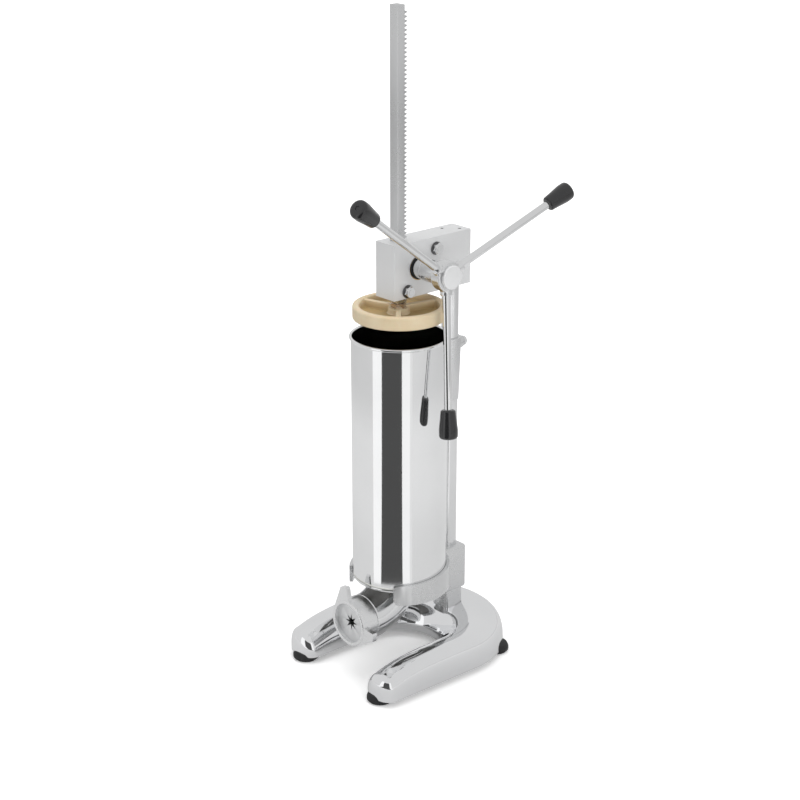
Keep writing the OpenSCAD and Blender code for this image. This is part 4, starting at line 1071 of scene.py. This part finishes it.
def lug_outline(reach=44.2, half=5.5, ring=27.9, fillet=4.0, corner=2.4):
    """A lug along +X: one flank leaves the ring as a tangent, the other rises from a rounded root."""
    start = atan2(half, reach) + acos(ring / hypot(reach, half))
    fy = -half - fillet
    fx = sqrt((ring + fillet) ** 2 - fy * fy)
    root = atan2(fy, fx)
    out = [(ring * cos(start), ring * sin(start)), (0, 0), (ring * cos(root), ring * sin(root))]
    for k in range(1, 7):
        a = mix(root + pi, pi / 2, k / 6)
        out.append((fx + fillet * cos(a), fy + fillet * sin(a)))
    for cx, cy, low, high in ((reach - corner, -half + corner, -90, 0),
                              (reach - corner, half - corner * 0.8, 0, 75)):
        for k in range(6):
            a = radians(mix(low, high, k / 5))
            out.append((cx + corner * cos(a), cy + corner * sin(a)))
    return out


def ring_nut():
    """The nut that holds the die, with a lug up and a lug to the right."""
    body = rounded([(NUT_BORE_R, 65.0), (NUT_BORE_R, NUT_REAR), (NUT_R, NUT_REAR), (NUT_R, NUT_FRONT),
                    (NUT_MOUTH_R, NUT_FRONT), (NUT_MOUTH_R, DIE_FRONT), (NUT_BORE_R, DIE_FRONT),
                    (NUT_BORE_R, 65.0)], [0, 0.3, 0.6, 1.4, 1.0, 0, 0, 0], 4)[:-1]
    ob = as_object(closed_lathe(body, OUTLET_AXIS, 128), "nut")
    lugs = []
    for angle, side in ((101.0, 1), (-3.5, -1)):
        turn = upright(0, -NUT_FRONT + 6.7, OUTLET_Z) @ Matrix.Rotation(-radians(angle), 4, "Y")
        turn = turn @ Matrix.Rotation(pi / 2, 4, "X")
        lugs.append(as_object(prism([(x, side * y) for x, y in lug_outline()], turn, 0.0, 6.0), "lug"))
    carve(ob, lugs, "UNION")
    mouth = lathe([(0, 50.0), (NUT_BORE_R, 50.0), (NUT_BORE_R, DIE_FRONT), (NUT_MOUTH_R, DIE_FRONT),
                   (NUT_MOUTH_R, 90.0), (0, 90.0)], OUTLET_AXIS, 128)
    carve(ob, [as_object(mouth, "mouth")])
    soften(ob, 0.8, 3, 40.0)
    return settled(ob, "outlet_ring_nut", 35.0)


new_piece("outlet_ring_nut", ring_nut(), "nut", "satin_aluminium", NUT, "ring_nut")


def star_die():
    """A disc with an eight-pointed opening."""
    disc = rounded(bar(DIE_R, DIE_FRONT - 3.95, DIE_FRONT - 0.05), 0.4)
    ob = turning(disc, OUTLET_AXIS, 128)
    star = []
    for k in range(16):
        r, a = STAR_ROOT_R if k % 2 else STAR_TIP_R, radians(90 + 22.5 * k)
        star.append((r * cos(a), r * sin(a)))
    turn = upright(0, 0, OUTLET_Z) @ Matrix.Rotation(pi / 2, 4, "X")
    carve(ob, [as_object(prism(star, turn, 60.0, 85.0), "star")])
    soften(ob, 0.25, 2, 40.0)
    return settled(ob, "star_die_disc", 32.0)


new_piece("star_die_disc", star_die(), "die", "bright_steel", DIE, "star_die")


# ----------
# Materials of the nodes that keep their own solid

for node, material in {
    "column_bolt": ZINC, "column_washer": ZINC, "cradle_set_screw": DARK_STEEL, "block_lock_screws": DARK_STEEL,
    "rack_shoe": NYLON, "shaft_bushings": BRONZE, "pinion": GEAR, "pinion_key": GEAR, "shaft_ring": DARK_STEEL,
    "hub_pin": DARK_STEEL, "piston_washer": ZINC, "tank_gasket": NYLON, "outlet_gasket": NYLON,
}.items():
    mesh = NODES[node].data
    if not mesh.materials:
        mesh.materials.append(material)
    for i in range(len(mesh.materials)):
        mesh.materials[i] = material


# ----------
# Floor, light and reflected cards

SKY_LIGHT, SKY_SEEN, SKY_REFLECTED = 0.78, 1.0, 0.71
FLOOR_NEAR, FLOOR_MIDDLE, FLOOR_FAR, FLOOR_R = 0.64, 0.695, 0.60, 9.0
CARD_NEAR, CARD_FAR, CARD_STEPS = 0.24, 2.0, 12


def glowing(name, strength):
    """A plain glowing material."""
    m = Finish(name)
    glow = m.add("ShaderNodeEmission", {}, {"Color": grey(1.0), "Strength": strength})
    m.tree.links.new(glow.outputs[0], [n for n in m.tree.nodes if n.type == "OUTPUT_MATERIAL"][0].inputs[0])
    m.tree.nodes.remove(m.shader)
    return m.material


def grey(level):
    return (level, level, level)


def floor_material():
    """White to the camera, with the object's shadow. Reflections see a pale grey that changes with distance."""
    m = Finish("pale_floor", Roughness=0.9, Emission_Strength=1.0)
    place = m.place()
    x, y, z = m.axes(place)
    away = (x * x + y * y) ** 0.5
    near = m.blend(m.noise(3.0, place), grey(FLOOR_NEAR), grey(FLOOR_NEAR - 0.01))
    shade = m.blend(away.ramp(0.35, 0.6), near, grey(FLOOR_MIDDLE))
    shade = m.blend(away.ramp(0.78, 1.05), shade, grey(FLOOR_FAR))
    path = m.add("ShaderNodeLightPath")
    seen = Value(m, path.outputs["Is Camera Ray"])
    m.drive("Base Color", m.blend(seen, shade, grey(1.0)))
    m.drive("Emission Color", seen * (away.ramp(0.4, 1.2) * 0.3 + 0.2))
    return m.material


bm = bmesh.new()
bmesh.ops.create_circle(bm, cap_ends=True, radius=FLOOR_R, segments=96)
floor = linked("floor", plain_mesh(bm, "floor"))
floor.data.materials.append(floor_material())

world = bpy.data.worlds.new("studio")
bpy.context.scene.world = world
world.use_nodes = True
path = add_node(world.node_tree, "ShaderNodeLightPath")
glow = SKY_LIGHT
for ray, extra in (("Is Camera Ray", SKY_SEEN - SKY_LIGHT), ("Is Glossy Ray", SKY_REFLECTED - SKY_LIGHT)):
    glow = add_node(world.node_tree, "ShaderNodeMath", {"operation": "MULTIPLY_ADD"},
                    {0: path.outputs[ray], 1: extra, 2: glow}).outputs[0]
plug(world.node_tree, world.node_tree.nodes["Background"].inputs["Color"], glow)


def lamp(name, place, target, size, power):
    data = bpy.data.lights.new(name, "AREA")
    data.shape, data.size, data.energy = "DISK", size, power
    ob = linked(name, data)
    ob.location = place
    ob.rotation_euler = (Vector(target) - Vector(place)).to_track_quat("-Z", "Y").to_euler()
    ob.visible_glossy = False


lamp("overhead", (-0.3, 0.1, 2.4), (0, 0, 0.3), 1.8, 16.0)
lamp("right", (2.6, -0.4, 0.75), (0, 0, 0.45), 2.4, 30.0)
lamp("front_left", (-1.2, -2.2, 1.6), (0, 0, 0.35), 1.2, 6.0)


def reflected_card(name, left, right, high, brightness, lift=0.0008, slant=(0.0, 0.0)):
    """A card that only reflections show: a strip on the floor and a wall behind it.
    left and right are places across the tank's picture, from -1 to 1 of its radius,
    and slant moves them at the strip's far end."""
    towards = Vector((camera.location.x, camera.location.y - TANK_Y * MM, 0)).normalized()
    sideways = Vector((-towards.y, towards.x, 0))

    def line(s, reach, height):
        d = asin(s)
        start = at(0, 0, 0) + (towards * cos(d) + sideways * sin(d)) * TANK_R * MM
        spot = start + (towards * cos(2 * d) + sideways * sin(2 * d)) * reach
        return bm.verts.new(spot + Vector((0, 0, height)))

    bm = bmesh.new()
    for k in range(CARD_STEPS):
        a, b = (mix(left, right, i / CARD_STEPS) for i in (k, k + 1))
        a_far, b_far = (s + mix(*slant, i / CARD_STEPS) for s, i in ((a, k), (b, k + 1)))
        bm.faces.new((line(a, CARD_NEAR, lift), line(b, CARD_NEAR, lift), line(b_far, CARD_FAR, lift),
                      line(a_far, CARD_FAR, lift)))
        bm.faces.new((line(a_far, CARD_FAR, 0.001), line(b_far, CARD_FAR, 0.001), line(b_far, CARD_FAR, high),
                      line(a_far, CARD_FAR, high)))
    ob = linked(name, plain_mesh(bm, name))
    ob.data.materials.append(glowing(name, brightness))
    ob.visible_camera = ob.visible_diffuse = ob.visible_shadow = ob.visible_transmission = False


reflected_card("dark_card", -0.39, 0.07, 1.25, 0.078, lift=0.0014, slant=(0.035, -0.02))
reflected_card("white_card_left", -0.545, -0.39, 1.6, 1.03, slant=(0.0, 0.035))
reflected_card("white_card_right", 0.07, 0.22, 1.6, 1.0, slant=(-0.02, 0.0))
reflected_card("white_card_edge", 0.22, 0.27, 1.6, 0.82)
